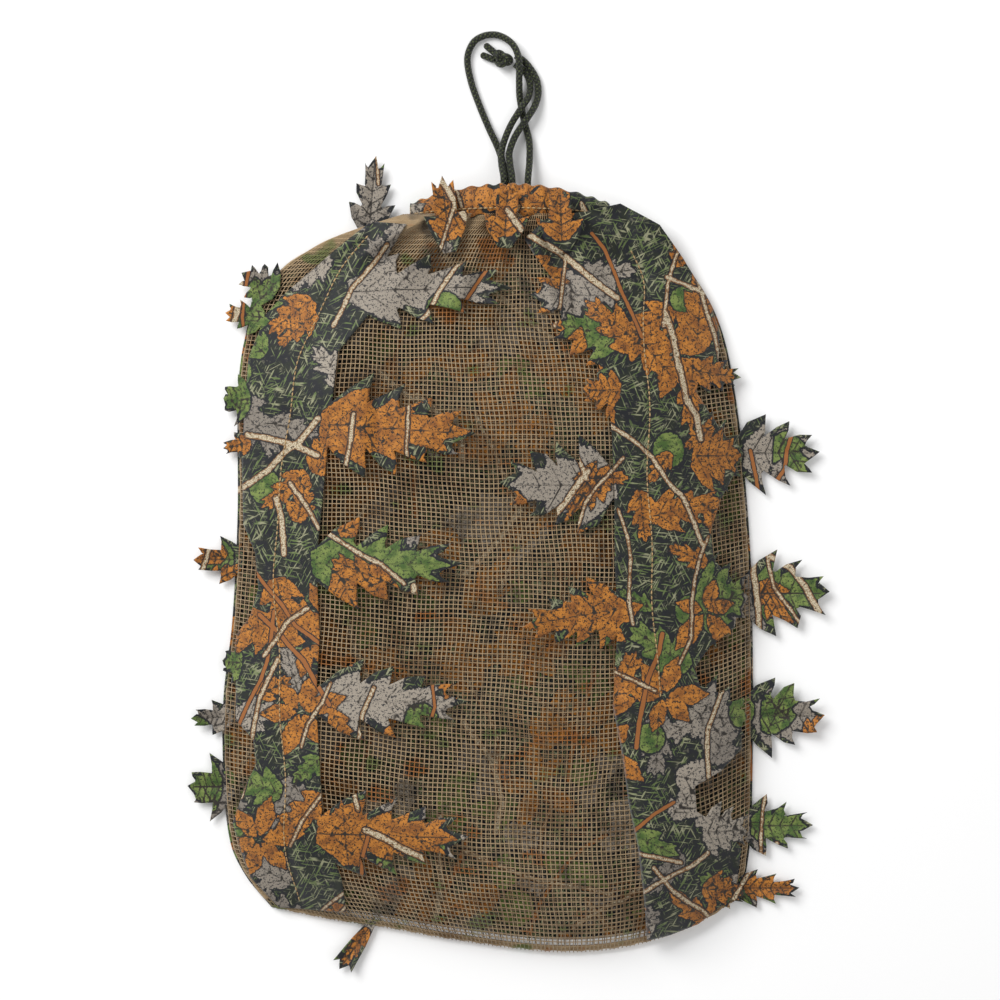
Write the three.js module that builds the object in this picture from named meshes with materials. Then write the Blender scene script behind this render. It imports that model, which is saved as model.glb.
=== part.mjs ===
// Leafy camouflage face mask (a hood of open netting and printed cloth), lying flat on its back with its
// neck drawn shut. Millimetres, +Z up. +Y runs from the closed crown towards the neck, +X is to the right
// when the mask is seen from above, and z = 0 is the surface that it lies on.
import * as THREE from 'three';

// ---- Driving dimensions -------------------------------------------------------------------------------
const CLOTH = 1.0;              // thickness allowed for one layer of cloth or netting
const GAP = 0.3;                // clearance between touching pieces
const LAYER_GAP = 2.2;          // clearance between curved layers that lie on each other
const PUFF = 40;                // how far the front stands up over the back
const PUFF_AT_NECK = 9;         // what is left of that where the neck is drawn in
const EDGE_HEIGHT = 3.2;        // height of the front's edge along the sides and the crown
const NECK_EDGE_HEIGHT = 13.4;  // height of the front's edge where the casing starts
const NECK_START = 160;         // y where the shoulders begin to rise to the neck
const NECK_END = 196;           // y where the netting is sewn to the casing
const CASING_HALF_WIDTH = 56;   // half width of the gathered neck
const CASING_DEPTH = 12;        // length of the casing along y
const CASING_CHANNEL = 4.8;     // clear height inside the casing, which holds the cord
const CASING_WALL = 0.8;        // one wall of the casing
const MOUTH_HEIGHT = 10;        // how far the closed mouth stands open at its middle
const PUFF_FROM_CROWN = 80;     // how far in from the crown the front reaches its full height
const PUFF_FROM_NECK = 110;     // the same from the neck
const CORD_DIAMETER = 3.8;
const BAND_WIDTH_SHARE = 0.03;  // share of the width that a side band takes
const STITCH_WIDTH = 1.6;
const STITCH_HEIGHT = 0.5;

// Outline of the body, lying flat. Each edge is a list of [y, x] or [x, y] pairs with a smooth line through them.
const LEFT_EDGE = [
  [-194, -134], [-177, -148], [-158, -157], [-120, -161], [-76, -161], [-32, -156], [30, -153], [92, -153],
  [122, -150], [148, -142], [168, -126], [184, -97], [196, -60],
];
const RIGHT_EDGE = [
  [-191, 126], [-172, 133], [-132, 136], [-20, 136], [36, 133], [92, 127], [131, 119], [158, 106],
  [178, 88], [196, 60],
];
const CROWN_EDGE = [
  [-134, -194], [-100, -201], [-67, -206], [-34, -212], [22, -219], [62, -217], [100, -206], [126, -191],
];

// The two leafy strips on the front: [y, x] of the sewn centre line and of the leaf-cut edges beside it.
const LEFT_SEAM_LINE = [
  [186, -77], [164, -96], [132, -110], [110, -119], [78, -124], [36, -129], [0, -132], [-36, -130],
  [-80, -128], [-116, -126], [-161, -125], [-190, -119],
];
const LEFT_STRIP_OUTER = [
  [186, -84], [164, -112], [146, -133], [110, -142], [60, -146], [20, -146], [-6, -142], [-24, -142],
  [-44, -150], [-80, -150], [-100, -142], [-124, -150], [-160, -148], [-190, -130],
];
const LEFT_STRIP_INNER = [
  [186, -60], [168, -24], [153, -8], [138, -22], [125, -72], [94, -60], [72, -22], [54, -36], [47, -90],
  [24, -66], [1, -28], [-20, -38], [-39, -92], [-57, -60], [-74, -26], [-92, -46], [-110, -100],
  [-128, -62], [-150, -24], [-168, -46], [-178, -98], [-190, -96],
];
const RIGHT_SEAM_LINE = [
  [180, 66], [160, 74], [137, 74.5], [92, 77], [37, 77], [0, 79], [-36, 80], [-74, 84],
  [-104, 90], [-134, 94], [-160, 96], [-188, 98],
];
const RIGHT_STRIP_INNER = [
  [180, 46], [166, 26], [153, 14], [144, 24], [108, 44], [86, 52], [74, 40], [56, 16], [41, 12], [24, 30],
  [10, 34], [0, 12], [-12, 6], [-34, 22], [-60, 42], [-79, 57], [-104, 62], [-134, 66], [-160, 71], [-188, 75],
];
const RIGHT_STRIP_OUTER = [
  [180, 78], [160, 94], [148, 103], [128, 110], [98, 106], [76, 118], [54, 124], [30, 116], [4, 116],
  [-20, 126], [-42, 116], [-58, 104], [-80, 116], [-106, 122], [-126, 104], [-146, 110], [-166, 122], [-188, 112],
];

// The free leaves: where each is sewn down (x, y), which way it points (degrees from +X), its length and width.
const FREE_LEAVES = [
  { name: 'right_leaf_1', x: 132.2, y: 62, heading: 0, length: 41.8, width: 46 },
  { name: 'right_leaf_2', x: 137.2, y: -17, heading: 0, length: 43.8, width: 50 },
  { name: 'right_leaf_3', x: 137.8, y: -86, heading: 0, length: 39.2, width: 46 },
  { name: 'right_leaf_4', x: 136.6, y: -148, heading: 0, length: 33.4, width: 34 },
  { name: 'right_leaf_5', x: 131.6, y: -183, heading: 0, length: 32, width: 22 },
  { name: 'shoulder_leaf', x: -79, y: 192.5, heading: 85, length: 36.5, width: 26 },
  { name: 'left_leaf_1', x: -155.8, y: 2, heading: 180, length: 21.7, width: 28 },
  { name: 'left_leaf_2', x: -162.8, y: -87, heading: 180, length: 16.2, width: 20 },
  { name: 'left_leaf_3', x: -162.2, y: -126, heading: 180, length: 18.8, width: 38 },
  { name: 'crown_leaf', x: -80, y: -206, heading: 235, length: 28, width: 12 },
];
const LEAF_ROOT_Z = 3.4;
const LEAF_DROOP = 2.5;         // degrees that a free leaf hangs below level
const NECK_LEAVES = [
  { name: 'neck_leaf_1', x: -34, y: 181, heading: 97, length: 36, width: 26 },
  { name: 'neck_leaf_2', x: -3, y: 183, heading: 86, length: 30, width: 26 },
  { name: 'neck_leaf_3', x: 29, y: 181, heading: 92, length: 30, width: 28 },
];

// Routes of the drawcord, as points that its centre passes through. The mask's neck hides the first of each.
const LOOP_ROUTE = [
  [-1.6, 190, 8.8], [-1.6, 214, 8.7], [-3.6, 224, 5.6], [-6.8, 234, 2.9], [-11.8, 245, 2.1], [-16.8, 257, 2.1],
  [-21.8, 271, 2.1], [-24, 284, 2.1], [-21, 293, 2.1], [-15.5, 297, 2.1], [-9, 298, 2.2], [-3.5, 296.3, 3.2],
  [1.7, 292, 5.6], [4.6, 285.5, 7.4], [5.2, 278, 7.1], [5.2, 270, 5.0], [5.6, 262, 2.5], [7.8, 250, 2.1],
  [10.8, 238, 2.9], [11, 226, 5.4], [10, 214, 8.7], [9.6, 190, 8.8],
];
const OUTER_END_ROUTE = [
  [1.3, 190, 13.1], [1.3, 214, 13.0], [0.1, 224, 10.0], [-0.3, 231, 7.8], [2.3, 239, 6.6], [6.2, 245.5, 6.4],
  [10.8, 252, 6.4], [14.4, 258.5, 4.2], [16, 265, 2.3], [15.2, 272, 2.1], [12, 278.2, 2.1], [8, 283, 2.1],
  [3.2, 286.2, 2.6],
];
const INNER_END_ROUTE = [
  [-3.4, 190, 13.1], [-3.4, 214, 13.0], [-4.7, 224, 10.0], [-4.9, 231, 7.9], [-2.6, 239.5, 6.6], [0.7, 247, 6.5],
  [4.2, 252.8, 6.5], [7.2, 257.5, 6.5], [10.3, 262.5, 4.6], [11.4, 268, 2.5], [10.4, 273.5, 2.1],
  [7.4, 278, 2.1], [2.6, 281.3, 2.6],
];
const KNOT = { x: -4.2, y: 284, z: 4.5, halfLength: 5.7, halfWidth: 4.6, halfHeight: 4.2, turn: 155 };
const UPPER_TAIL_ROUTE = [[-9.3, 288.2, 3.6], [-12, 290.6, 2.4], [-14.4, 292.6, 2.2]];
const LOWER_TAIL_ROUTE = [[-10.5, 284.3, 2.9], [-13.4, 285.6, 2.3], [-16.6, 286.8, 2.2]];

// ---- Colours ------------------------------------------------------------------------------------------
const netting = new THREE.MeshStandardMaterial({ color: 0xa48a68, roughness: 0.9, metalness: 0 });
const printedCloth = new THREE.MeshStandardMaterial({ color: 0x6b5a3c, roughness: 0.85, metalness: 0 });
const leafCloth = new THREE.MeshStandardMaterial({ color: 0x8a7a5e, roughness: 0.8, metalness: 0 });
const seamTape = new THREE.MeshStandardMaterial({ color: 0x3a3a30, roughness: 0.9, metalness: 0 });
const thread = new THREE.MeshStandardMaterial({ color: 0xb79a6c, roughness: 0.7, metalness: 0 });
const cord = new THREE.MeshStandardMaterial({ color: 0x323a23, roughness: 0.6, metalness: 0 });

// ---- The shape that every layer follows ---------------------------------------------------------------
// Smooth value between the pairs of a table: cubic steps with the slopes of the chords around each pair.
function along(table, key) {
  const ascending = table[0][0] < table[table.length - 1][0];
  const rows = ascending ? table : [...table].reverse();
  const last = rows.length - 1;
  const at = THREE.MathUtils.clamp(key, rows[0][0], rows[last][0]);
  let i = 0;
  while (i < last - 1 && at > rows[i + 1][0]) i += 1;
  const slope = (k) => {
    const before = rows[Math.max(k - 1, 0)];
    const after = rows[Math.min(k + 1, last)];
    return (after[1] - before[1]) / (after[0] - before[0]);
  };
  const span = rows[i + 1][0] - rows[i][0];
  const t = (at - rows[i][0]) / span;
  const a = (1 + 2 * t) * (1 - t) ** 2 * rows[i][1];
  const b = t * (1 - t) ** 2 * span * slope(i);
  const c = t * t * (3 - 2 * t) * rows[i + 1][1];
  const d = t * t * (t - 1) * span * slope(i + 1);
  return a + b + c + d;
}

// A point of the outline's inside: u runs from the left edge to the right one, v from crown to neck.
function plan(u, v) {
  const leftY = THREE.MathUtils.lerp(LEFT_EDGE[0][0], NECK_END, v);
  const rightY = THREE.MathUtils.lerp(RIGHT_EDGE[0][0], NECK_END, v);
  const left = [along(LEFT_EDGE, leftY), leftY];
  const right = [along(RIGHT_EDGE, rightY), rightY];
  const crownX = THREE.MathUtils.lerp(CROWN_EDGE[0][0], CROWN_EDGE[CROWN_EDGE.length - 1][0], u);
  const crown = [crownX, along(CROWN_EDGE, crownX)];
  const neckX = THREE.MathUtils.lerp(LEFT_EDGE[LEFT_EDGE.length - 1][1], RIGHT_EDGE[RIGHT_EDGE.length - 1][1], u);
  const neck = [neckX, NECK_END];
  const corners = [
    CROWN_EDGE[0], CROWN_EDGE[CROWN_EDGE.length - 1],
    [LEFT_EDGE[LEFT_EDGE.length - 1][1], NECK_END], [RIGHT_EDGE[RIGHT_EDGE.length - 1][1], NECK_END],
  ];
  return [0, 1].map((k) => (1 - v) * crown[k] + v * neck[k] + (1 - u) * left[k] + u * right[k]
    - (1 - u) * (1 - v) * corners[0][k] - u * (1 - v) * corners[1][k]
    - (1 - u) * v * corners[2][k] - u * v * corners[3][k]);
}

// Height of the front's edge, which rises at the shoulders to meet the neck casing.
function edgeHeight(y) {
  return THREE.MathUtils.lerp(EDGE_HEIGHT, NECK_EDGE_HEIGHT, THREE.MathUtils.smoothstep(y, NECK_START, NECK_END));
}

// Height of the front's outer face over the point (x, y).
function frontHeight(x, y) {
  const left = along(LEFT_EDGE, y);
  const right = along(RIGHT_EDGE, y);
  const across = THREE.MathUtils.clamp((x - left) / (right - left), 0, 1);
  const arch = 1 - (2 * across - 1) ** 4;
  const fromCrown = THREE.MathUtils.clamp((y - along(CROWN_EDGE, x)) / PUFF_FROM_CROWN, 0, 1);
  const crownRise = 1 - (1 - fromCrown) ** 3;
  const fromNeck = THREE.MathUtils.smoothstep(NECK_END - y, 0, PUFF_FROM_NECK);
  const puff = THREE.MathUtils.lerp(PUFF_AT_NECK, PUFF, fromNeck);
  return edgeHeight(y) + puff * arch * crownRise;
}

// ---- Mesh makers --------------------------------------------------------------------------------------
function meshFrom(name, vertices, triangles, material) {
  const geometry = new THREE.BufferGeometry();
  geometry.setAttribute('position', new THREE.Float32BufferAttribute(vertices.flat(), 3));
  geometry.setIndex(triangles.flat());
  geometry.computeVertexNormals();
  const mesh = new THREE.Mesh(geometry, material);
  mesh.name = name;
  return mesh;
}

// A closed sheet. place(s, t) gives [x, y, low z, high z] for s across and t along, both from 0 to 1,
// with +s to the right of +t when seen from above.
function sheet(name, across, lengthwise, place, material) {
  const stations = [];
  for (let j = 0; j <= lengthwise; j += 1) {
    for (let i = 0; i <= across; i += 1) stations.push(place(i / across, j / lengthwise));
  }
  const count = stations.length;
  const high = stations.map(([x, y, , z]) => [x, y, z]);
  const low = stations.map(([x, y, z]) => [x, y, z]);
  const at = (i, j) => j * (across + 1) + i;
  const triangles = [];
  for (let j = 0; j < lengthwise; j += 1) {
    for (let i = 0; i < across; i += 1) {
      const [a, b, c, d] = [at(i, j), at(i + 1, j), at(i + 1, j + 1), at(i, j + 1)];
      triangles.push([a, b, c], [a, c, d]);
      triangles.push([count + a, count + c, count + b], [count + a, count + d, count + c]);
    }
  }
  const rim = [];
  for (let i = 0; i < across; i += 1) rim.push([at(i, 0), at(i + 1, 0)]);
  for (let j = 0; j < lengthwise; j += 1) rim.push([at(across, j), at(across, j + 1)]);
  for (let i = across; i > 0; i -= 1) rim.push([at(i, lengthwise), at(i - 1, lengthwise)]);
  for (let j = lengthwise; j > 0; j -= 1) rim.push([at(0, j), at(0, j - 1)]);
  rim.forEach(([a, b]) => triangles.push([count + a, count + b, b], [count + a, b, a]));
  return meshFrom(name, [...high, ...low], triangles, material);
}

// A closed bar: the same outline at every station, each station a function from outline point to space.
function bar(name, outline, stations, material) {
  const sides = outline.length;
  const vertices = stations.flatMap((station) => outline.map(([p, q]) => station(p, q)));
  const triangles = [];
  for (let k = 0; k < stations.length - 1; k += 1) {
    for (let i = 0; i < sides; i += 1) {
      const next = (i + 1) % sides;
      const [a, b, c, d] = [k * sides + i, k * sides + next, (k + 1) * sides + next, (k + 1) * sides + i];
      triangles.push([a, b, c], [a, c, d]);
    }
  }
  const cap = THREE.ShapeUtils.triangulateShape(outline.map(([p, q]) => new THREE.Vector2(p, q)), []);
  const end = (stations.length - 1) * sides;
  cap.forEach(([a, b, c]) => triangles.push([a, c, b], [end + a, end + b, end + c]));
  return meshFrom(name, vertices, triangles, material);
}

// A round cord along the points of a route.
function tube(name, route, diameter, steps, material) {
  const curve = new THREE.CatmullRomCurve3(route.map((point) => new THREE.Vector3(...point)));
  const section = new THREE.Shape();
  const sides = 8;
  for (let i = 0; i < sides; i += 1) {
    const angle = (2 * Math.PI * i) / sides;
    const point = [Math.cos(angle) * diameter / 2, Math.sin(angle) * diameter / 2];
    if (i === 0) section.moveTo(...point);
    else section.lineTo(...point);
  }
  const geometry = new THREE.ExtrudeGeometry(section, { steps, extrudePath: curve, bevelEnabled: false });
  const mesh = new THREE.Mesh(geometry, material);
  mesh.name = name;
  return mesh;
}

// ---- Body of the mask ---------------------------------------------------------------------------------
const mask = new THREE.Group();
const INSET = 0.014;            // share of the width that the edge seams take
const GAP_SHARE = 0.0015;       // share of the width left clear beside them
const EDGE_STEPS = 24;          // steps along the long edges of the back and of what is sewn to it

// The back lies flat between the two side bands.
const backEdge = BAND_WIDTH_SHARE + GAP_SHARE;
mask.add(sheet('back_panel', 8, EDGE_STEPS, (s, t) => {
  const u = THREE.MathUtils.lerp(backEdge, 1 - backEdge, s);
  const v = THREE.MathUtils.lerp(INSET, 1, t);
  return [...plan(u, v), 0, CLOTH];
}, printedCloth));

// The netting of the front, open to the head inside.
mask.add(sheet('front_net', 22, 26, (s, t) => {
  const u = THREE.MathUtils.lerp(INSET + GAP_SHARE, 1 - INSET - GAP_SHARE, s);
  const v = THREE.MathUtils.lerp(INSET, 1, t);
  const [x, y] = plan(u, v);
  return [x, y, frontHeight(x, y) - CLOTH, frontHeight(x, y)];
}, netting));

// Bands of leafy cloth along both sides of the back: the free side leaves grow out of them.
function sideBand(name, fromShare, toShare) {
  return sheet(name, 1, EDGE_STEPS, (s, t) => {
    const u = THREE.MathUtils.lerp(fromShare, toShare, s);
    const v = THREE.MathUtils.lerp(INSET, 1, t);
    return [...plan(u, v), 0, CLOTH];
  }, leafCloth);
}
mask.add(sideBand('left_side_band', -GAP_SHARE * 2, BAND_WIDTH_SHARE));
mask.add(sideBand('right_side_band', 1 - BAND_WIDTH_SHARE, 1 + GAP_SHARE * 2));

// Seams that join front and back along the sides.
function sideSeam(name, fromShare, toShare) {
  return sheet(name, 1, EDGE_STEPS, (s, t) => {
    const u = THREE.MathUtils.lerp(fromShare, toShare, s);
    const v = THREE.MathUtils.lerp(INSET, 1, t);
    const [x, y] = plan(u, v);
    return [x, y, CLOTH + GAP, edgeHeight(y)];
  }, seamTape);
}
mask.add(sideSeam('left_side_seam', 0, INSET));
mask.add(sideSeam('right_side_seam', 1 - INSET, 1));

// The rolled seam across the crown.
mask.add(sheet('crown_seam', 20, 1, (s, t) => {
  const v = THREE.MathUtils.lerp(0, INSET - GAP_SHARE, t);
  return [...plan(s, v), 0, EDGE_HEIGHT];
}, seamTape));

// ---- Neck casing and the cord inside it ---------------------------------------------------------------
// Clear height of the mouth between the two halves of the casing.
function mouthHeight(x) {
  return MOUTH_HEIGHT * (1 - (x / CASING_HALF_WIDTH) ** 2);
}
const casingHeight = CASING_CHANNEL + 2 * CASING_WALL;
const casingStart = NECK_END + GAP;
const casingEnd = casingStart + CASING_DEPTH;
// Section of the casing in y and z: two walls joined by the fold at the neck's edge.
const CASING_SECTION = [
  [casingStart, 0], [casingEnd, 0], [casingEnd, casingHeight], [casingStart, casingHeight],
  [casingStart, casingHeight - CASING_WALL], [casingEnd - CASING_WALL, casingHeight - CASING_WALL],
  [casingEnd - CASING_WALL, CASING_WALL], [casingStart, CASING_WALL],
];
const CASING_STEPS = 20;
function casingStations(baseHeight) {
  return Array.from({ length: CASING_STEPS + 1 }, (_, k) => {
    const x = THREE.MathUtils.lerp(-CASING_HALF_WIDTH, CASING_HALF_WIDTH, k / CASING_STEPS);
    return (y, z) => [x, y, z + baseHeight(x)];
  });
}
const frontCasingBase = (x) => casingHeight + GAP + mouthHeight(x);
mask.add(bar('neck_casing_back', CASING_SECTION, casingStations(() => 0), printedCloth));
mask.add(bar('neck_casing_front', CASING_SECTION, casingStations(frontCasingBase), printedCloth));

const casedCordY = casingEnd - CASING_WALL - GAP - CORD_DIAMETER / 2;
function casedCord(name, baseHeight) {
  const route = casingStations(baseHeight).map((station) => station(casedCordY, casingHeight / 2));
  return tube(name, route, CORD_DIAMETER, CASING_STEPS, cord);
}
mask.add(casedCord('cased_cord_back', () => 0));
mask.add(casedCord('cased_cord_front', frontCasingBase));

// Stitch line that closes each half of the casing round the cord.
function casingStitch(name, baseHeight) {
  return sheet(name, CASING_STEPS, 1, (s, t) => {
    const x = THREE.MathUtils.lerp(-CASING_HALF_WIDTH + 2, CASING_HALF_WIDTH - 2, s);
    const top = casingHeight + baseHeight(x) + GAP;
    return [x, casingStart + 2 + t * STITCH_WIDTH, top, top + STITCH_HEIGHT];
  }, thread);
}
mask.add(casingStitch('neck_stitching_front', frontCasingBase));

// ---- Leafy strips on the front ------------------------------------------------------------------------
const STRIP_STEPS = 46;
function leafStrip(name, seamLine, leftLine, rightLine) {
  const top = seamLine[0][0];
  const bottom = seamLine[seamLine.length - 1][0];
  return sheet(name, 8, STRIP_STEPS, (s, t) => {
    const y = THREE.MathUtils.lerp(bottom, top, t);
    const centre = along(seamLine, y);
    const edge = s < 0.5 ? along(leftLine, y) : along(rightLine, y);
    const x = THREE.MathUtils.lerp(centre, edge, Math.abs(2 * s - 1));
    const base = frontHeight(x, y) + LAYER_GAP;
    return [x, y, base, base + CLOTH];
  }, leafCloth);
}
mask.add(leafStrip('left_leaf_strip', LEFT_SEAM_LINE, LEFT_STRIP_OUTER, LEFT_STRIP_INNER));
mask.add(leafStrip('right_leaf_strip', RIGHT_SEAM_LINE, RIGHT_STRIP_INNER, RIGHT_STRIP_OUTER));

function stripStitch(name, seamLine) {
  const top = seamLine[0][0];
  const bottom = seamLine[seamLine.length - 1][0];
  return sheet(name, 1, STRIP_STEPS, (s, t) => {
    const y = THREE.MathUtils.lerp(bottom, top, t);
    const centre = along(seamLine, y);
    const base = frontHeight(centre, y) + LAYER_GAP + CLOTH + 2 * GAP;
    return [centre + (s - 0.5) * STITCH_WIDTH, y, base, base + STITCH_HEIGHT];
  }, thread);
}
mask.add(stripStitch('left_strip_stitching', LEFT_SEAM_LINE));
mask.add(stripStitch('right_strip_stitching', RIGHT_SEAM_LINE));

// ---- Free leaves --------------------------------------------------------------------------------------
// Outline of a lobed leaf that starts at the origin and points along +X.
function leafShape(length, width) {
  const lobes = 3;
  const stalk = width * 0.12;
  const side = [[0, stalk]];
  for (let k = 0; k < lobes; k += 1) {
    const reach = 0.5 * width * (k === 1 ? 1 : 0.78);
    side.push([length * (0.14 + 0.24 * k), reach * 0.42], [length * (0.26 + 0.24 * k), reach]);
  }
  side.push([length * 0.84, width * 0.14]);
  const shape = new THREE.Shape();
  shape.moveTo(...side[0]);
  side.slice(1).forEach((point) => shape.lineTo(...point));
  shape.lineTo(length, 0);
  [...side].reverse().forEach(([x, y]) => shape.lineTo(x, -y));
  return shape;
}

function freeLeaf(leaf, rootHeight, droop) {
  const geometry = new THREE.ExtrudeGeometry(leafShape(leaf.length, leaf.width), { depth: CLOTH, bevelEnabled: false });
  const mesh = new THREE.Mesh(geometry, leafCloth);
  mesh.name = leaf.name;
  mesh.position.set(leaf.x, leaf.y, rootHeight);
  mesh.rotation.set(0, THREE.MathUtils.degToRad(droop), THREE.MathUtils.degToRad(leaf.heading), 'ZYX');
  return mesh;
}
FREE_LEAVES.forEach((leaf) => mask.add(freeLeaf(leaf, LEAF_ROOT_Z, LEAF_DROOP)));

// The neck leaves are sewn to the netting and lie over the casing, tips up.
const NECK_LEAF_LIFT = 4;
const NECK_LEAF_DROOP = -6;     // degrees below level: negative, so their tips rise
NECK_LEAVES.forEach((leaf) => {
  mask.add(freeLeaf(leaf, frontHeight(leaf.x, leaf.y) + NECK_LEAF_LIFT, NECK_LEAF_DROOP));
});

// ---- Drawcord -----------------------------------------------------------------------------------------
mask.add(tube('drawcord_loop', LOOP_ROUTE, CORD_DIAMETER, 38, cord));
mask.add(tube('drawcord_outer_end', OUTER_END_ROUTE, CORD_DIAMETER, 22, cord));
mask.add(tube('drawcord_inner_end', INNER_END_ROUTE, CORD_DIAMETER, 22, cord));
mask.add(tube('drawcord_upper_tail', UPPER_TAIL_ROUTE, CORD_DIAMETER, 3, cord));
mask.add(tube('drawcord_lower_tail', LOWER_TAIL_ROUTE, CORD_DIAMETER, 3, cord));

const knot = new THREE.Mesh(new THREE.SphereGeometry(1, 12, 8), cord);
knot.name = 'drawcord_knot';
knot.scale.set(KNOT.halfLength, KNOT.halfWidth, KNOT.halfHeight);
knot.rotation.z = THREE.MathUtils.degToRad(KNOT.turn);
knot.position.set(KNOT.x, KNOT.y, KNOT.z);
mask.add(knot);

export default mask;
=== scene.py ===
"""Leafy camouflage face mask, lying flat with its neck drawn shut: the looks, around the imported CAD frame.

Lengths in this script are millimetres until a mesh is made, and MM turns them into metres. +Y runs from the
closed crown to the drawn neck, +X to the right seen from above, and z = 0 is the surface the mask lies on.
"""
import math

import bpy
import numpy as np
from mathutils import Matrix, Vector, geometry


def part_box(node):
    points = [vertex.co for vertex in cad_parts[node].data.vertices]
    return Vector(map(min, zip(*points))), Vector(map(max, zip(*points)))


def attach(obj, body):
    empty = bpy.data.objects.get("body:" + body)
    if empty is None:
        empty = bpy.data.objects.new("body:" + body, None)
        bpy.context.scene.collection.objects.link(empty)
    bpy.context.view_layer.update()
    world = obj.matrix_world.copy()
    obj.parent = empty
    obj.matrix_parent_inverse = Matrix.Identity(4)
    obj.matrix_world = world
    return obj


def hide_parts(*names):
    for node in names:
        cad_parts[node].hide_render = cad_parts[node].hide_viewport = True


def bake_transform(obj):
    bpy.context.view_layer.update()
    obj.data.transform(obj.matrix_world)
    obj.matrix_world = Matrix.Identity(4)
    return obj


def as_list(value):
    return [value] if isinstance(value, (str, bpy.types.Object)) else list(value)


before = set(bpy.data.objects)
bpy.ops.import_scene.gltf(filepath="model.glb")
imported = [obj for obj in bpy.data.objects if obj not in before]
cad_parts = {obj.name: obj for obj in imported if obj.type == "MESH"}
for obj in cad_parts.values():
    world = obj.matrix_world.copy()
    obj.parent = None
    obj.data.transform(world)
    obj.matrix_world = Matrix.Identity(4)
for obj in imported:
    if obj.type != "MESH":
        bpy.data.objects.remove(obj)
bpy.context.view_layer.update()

MM = 0.001
CORD_DIAMETER = 3.8
CLOTH = 0.4                # thickness of the strips' and leaves' cloth
THICK_CLOTH = 0.5          # the same for the back, the side bands and the hems
NET_PITCH = 2.55           # distance between threads of the netting
BACK_NET_PITCH = 3.6       # the same for the back half, which lies loose and pulled open
THREAD_WIDTH = 0.56
THREAD_HEIGHT = 0.4


# ---- Camera, before anything else ----
VIEW_WIDTH = 560.0         # width of what the camera sees at the mask
VIEW_CENTRE = (-5.6, 35.6)
MASK_LEVEL = 20.0          # a level about halfway up the mask, where VIEW_WIDTH is taken
CAMERA_HEIGHT = 2600.0     # above that level
SENSOR_WIDTH = 36.0


def add_object(name, data):
    """A new object in the scene."""
    obj = bpy.data.objects.new(name, data)
    bpy.context.scene.collection.objects.link(obj)
    return obj


def make_camera():
    camera = bpy.data.cameras.new("camera")
    camera.sensor_width = SENSOR_WIDTH
    camera.lens = SENSOR_WIDTH * CAMERA_HEIGHT / VIEW_WIDTH
    camera.clip_end = 20.0
    holder = add_object("camera", camera)
    holder.location = (VIEW_CENTRE[0] * MM, VIEW_CENTRE[1] * MM, (CAMERA_HEIGHT + MASK_LEVEL) * MM)
    bpy.context.scene.camera = holder


make_camera()

# ---- Mesh helpers ----


def make_object(name, vertices, faces, material):
    """A smooth-shaded mesh object from millimetre vertices."""
    mesh = bpy.data.meshes.new(name)
    vertices = np.asarray(vertices, float) * MM
    if isinstance(faces, np.ndarray):
        faces = faces.tolist()
    mesh.from_pydata(vertices.tolist(), [], faces)
    mesh.validate()
    mesh.update()
    mesh.polygons.foreach_set("use_smooth", [True] * len(mesh.polygons))
    mesh.materials.append(material)
    return add_object(name, mesh)


def add_layer(mesh, name, values):
    """Stores one number or one vector per vertex, for the materials to read."""
    values = np.asarray(values, np.float32)
    kind, field = ("FLOAT", "value") if values.ndim == 1 else ("FLOAT_VECTOR", "vector")
    mesh.attributes.new(name, kind, "POINT").data.foreach_set(field, values.ravel())


def thicken(obj, thickness):
    """Gives a sheet its thickness, below its upper face."""
    modifier = obj.modifiers.new("thickness", "SOLIDIFY")
    modifier.thickness = thickness * MM
    modifier.offset = -1.0
    depsgraph = bpy.context.evaluated_depsgraph_get()
    solid = bpy.data.meshes.new_from_object(obj.evaluated_get(depsgraph))
    obj.modifiers.clear()
    thin = obj.data
    obj.data = solid
    bpy.data.meshes.remove(thin)
    obj.data.name = obj.name


def finish_piece(piece, node, body="hood"):
    """Puts a piece on the body it rides on and hides the CAD node it stands for."""
    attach(piece, body)
    if node:
        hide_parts(node)


# ---- Outline and height of the body, as in the CAD model ----
LEFT_EDGE = [
    (-194, -134), (-177, -148), (-158, -157), (-120, -161), (-76, -161), (-32, -156), (30, -153),
    (92, -153), (122, -150), (148, -142), (168, -126), (184, -97), (196, -60),
]
RIGHT_EDGE = [
    (-191, 126), (-172, 133), (-132, 136), (-20, 136), (36, 133), (92, 127), (131, 119), (158, 106),
    (178, 88), (196, 60),
]
CROWN_EDGE = [
    (-134, -194), (-100, -201), (-67, -206), (-34, -212), (22, -219), (62, -217), (100, -206), (126, -191),
]
NECK_END = 196.0
EDGE_HEIGHT = 3.2
NECK_EDGE_HEIGHT = 13.4
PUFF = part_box("front_net")[1].z / MM - EDGE_HEIGHT
PUFF_AT_NECK = 9.0


def along(table, key):
    """Smooth value between the pairs of a table, for an array of keys."""
    keys = np.array([row[0] for row in table], float)
    values = np.array([row[1] for row in table], float)
    slopes = np.gradient(values, keys)
    slopes[1:-1] = (values[2:] - values[:-2]) / (keys[2:] - keys[:-2])
    at = np.clip(np.asarray(key, float), keys[0], keys[-1])
    i = np.clip(np.searchsorted(keys, at, side="right") - 1, 0, len(keys) - 2)
    span = keys[i + 1] - keys[i]
    t = (at - keys[i]) / span
    start = (1 + 2 * t) * (1 - t) ** 2 * values[i] + t * (1 - t) ** 2 * span * slopes[i]
    return start + t * t * (3 - 2 * t) * values[i + 1] + t * t * (t - 1) * span * slopes[i + 1]


def smoothstep(x, low, high):
    t = np.clip((np.asarray(x, float) - low) / (high - low), 0, 1)
    return t * t * (3 - 2 * t)


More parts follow.
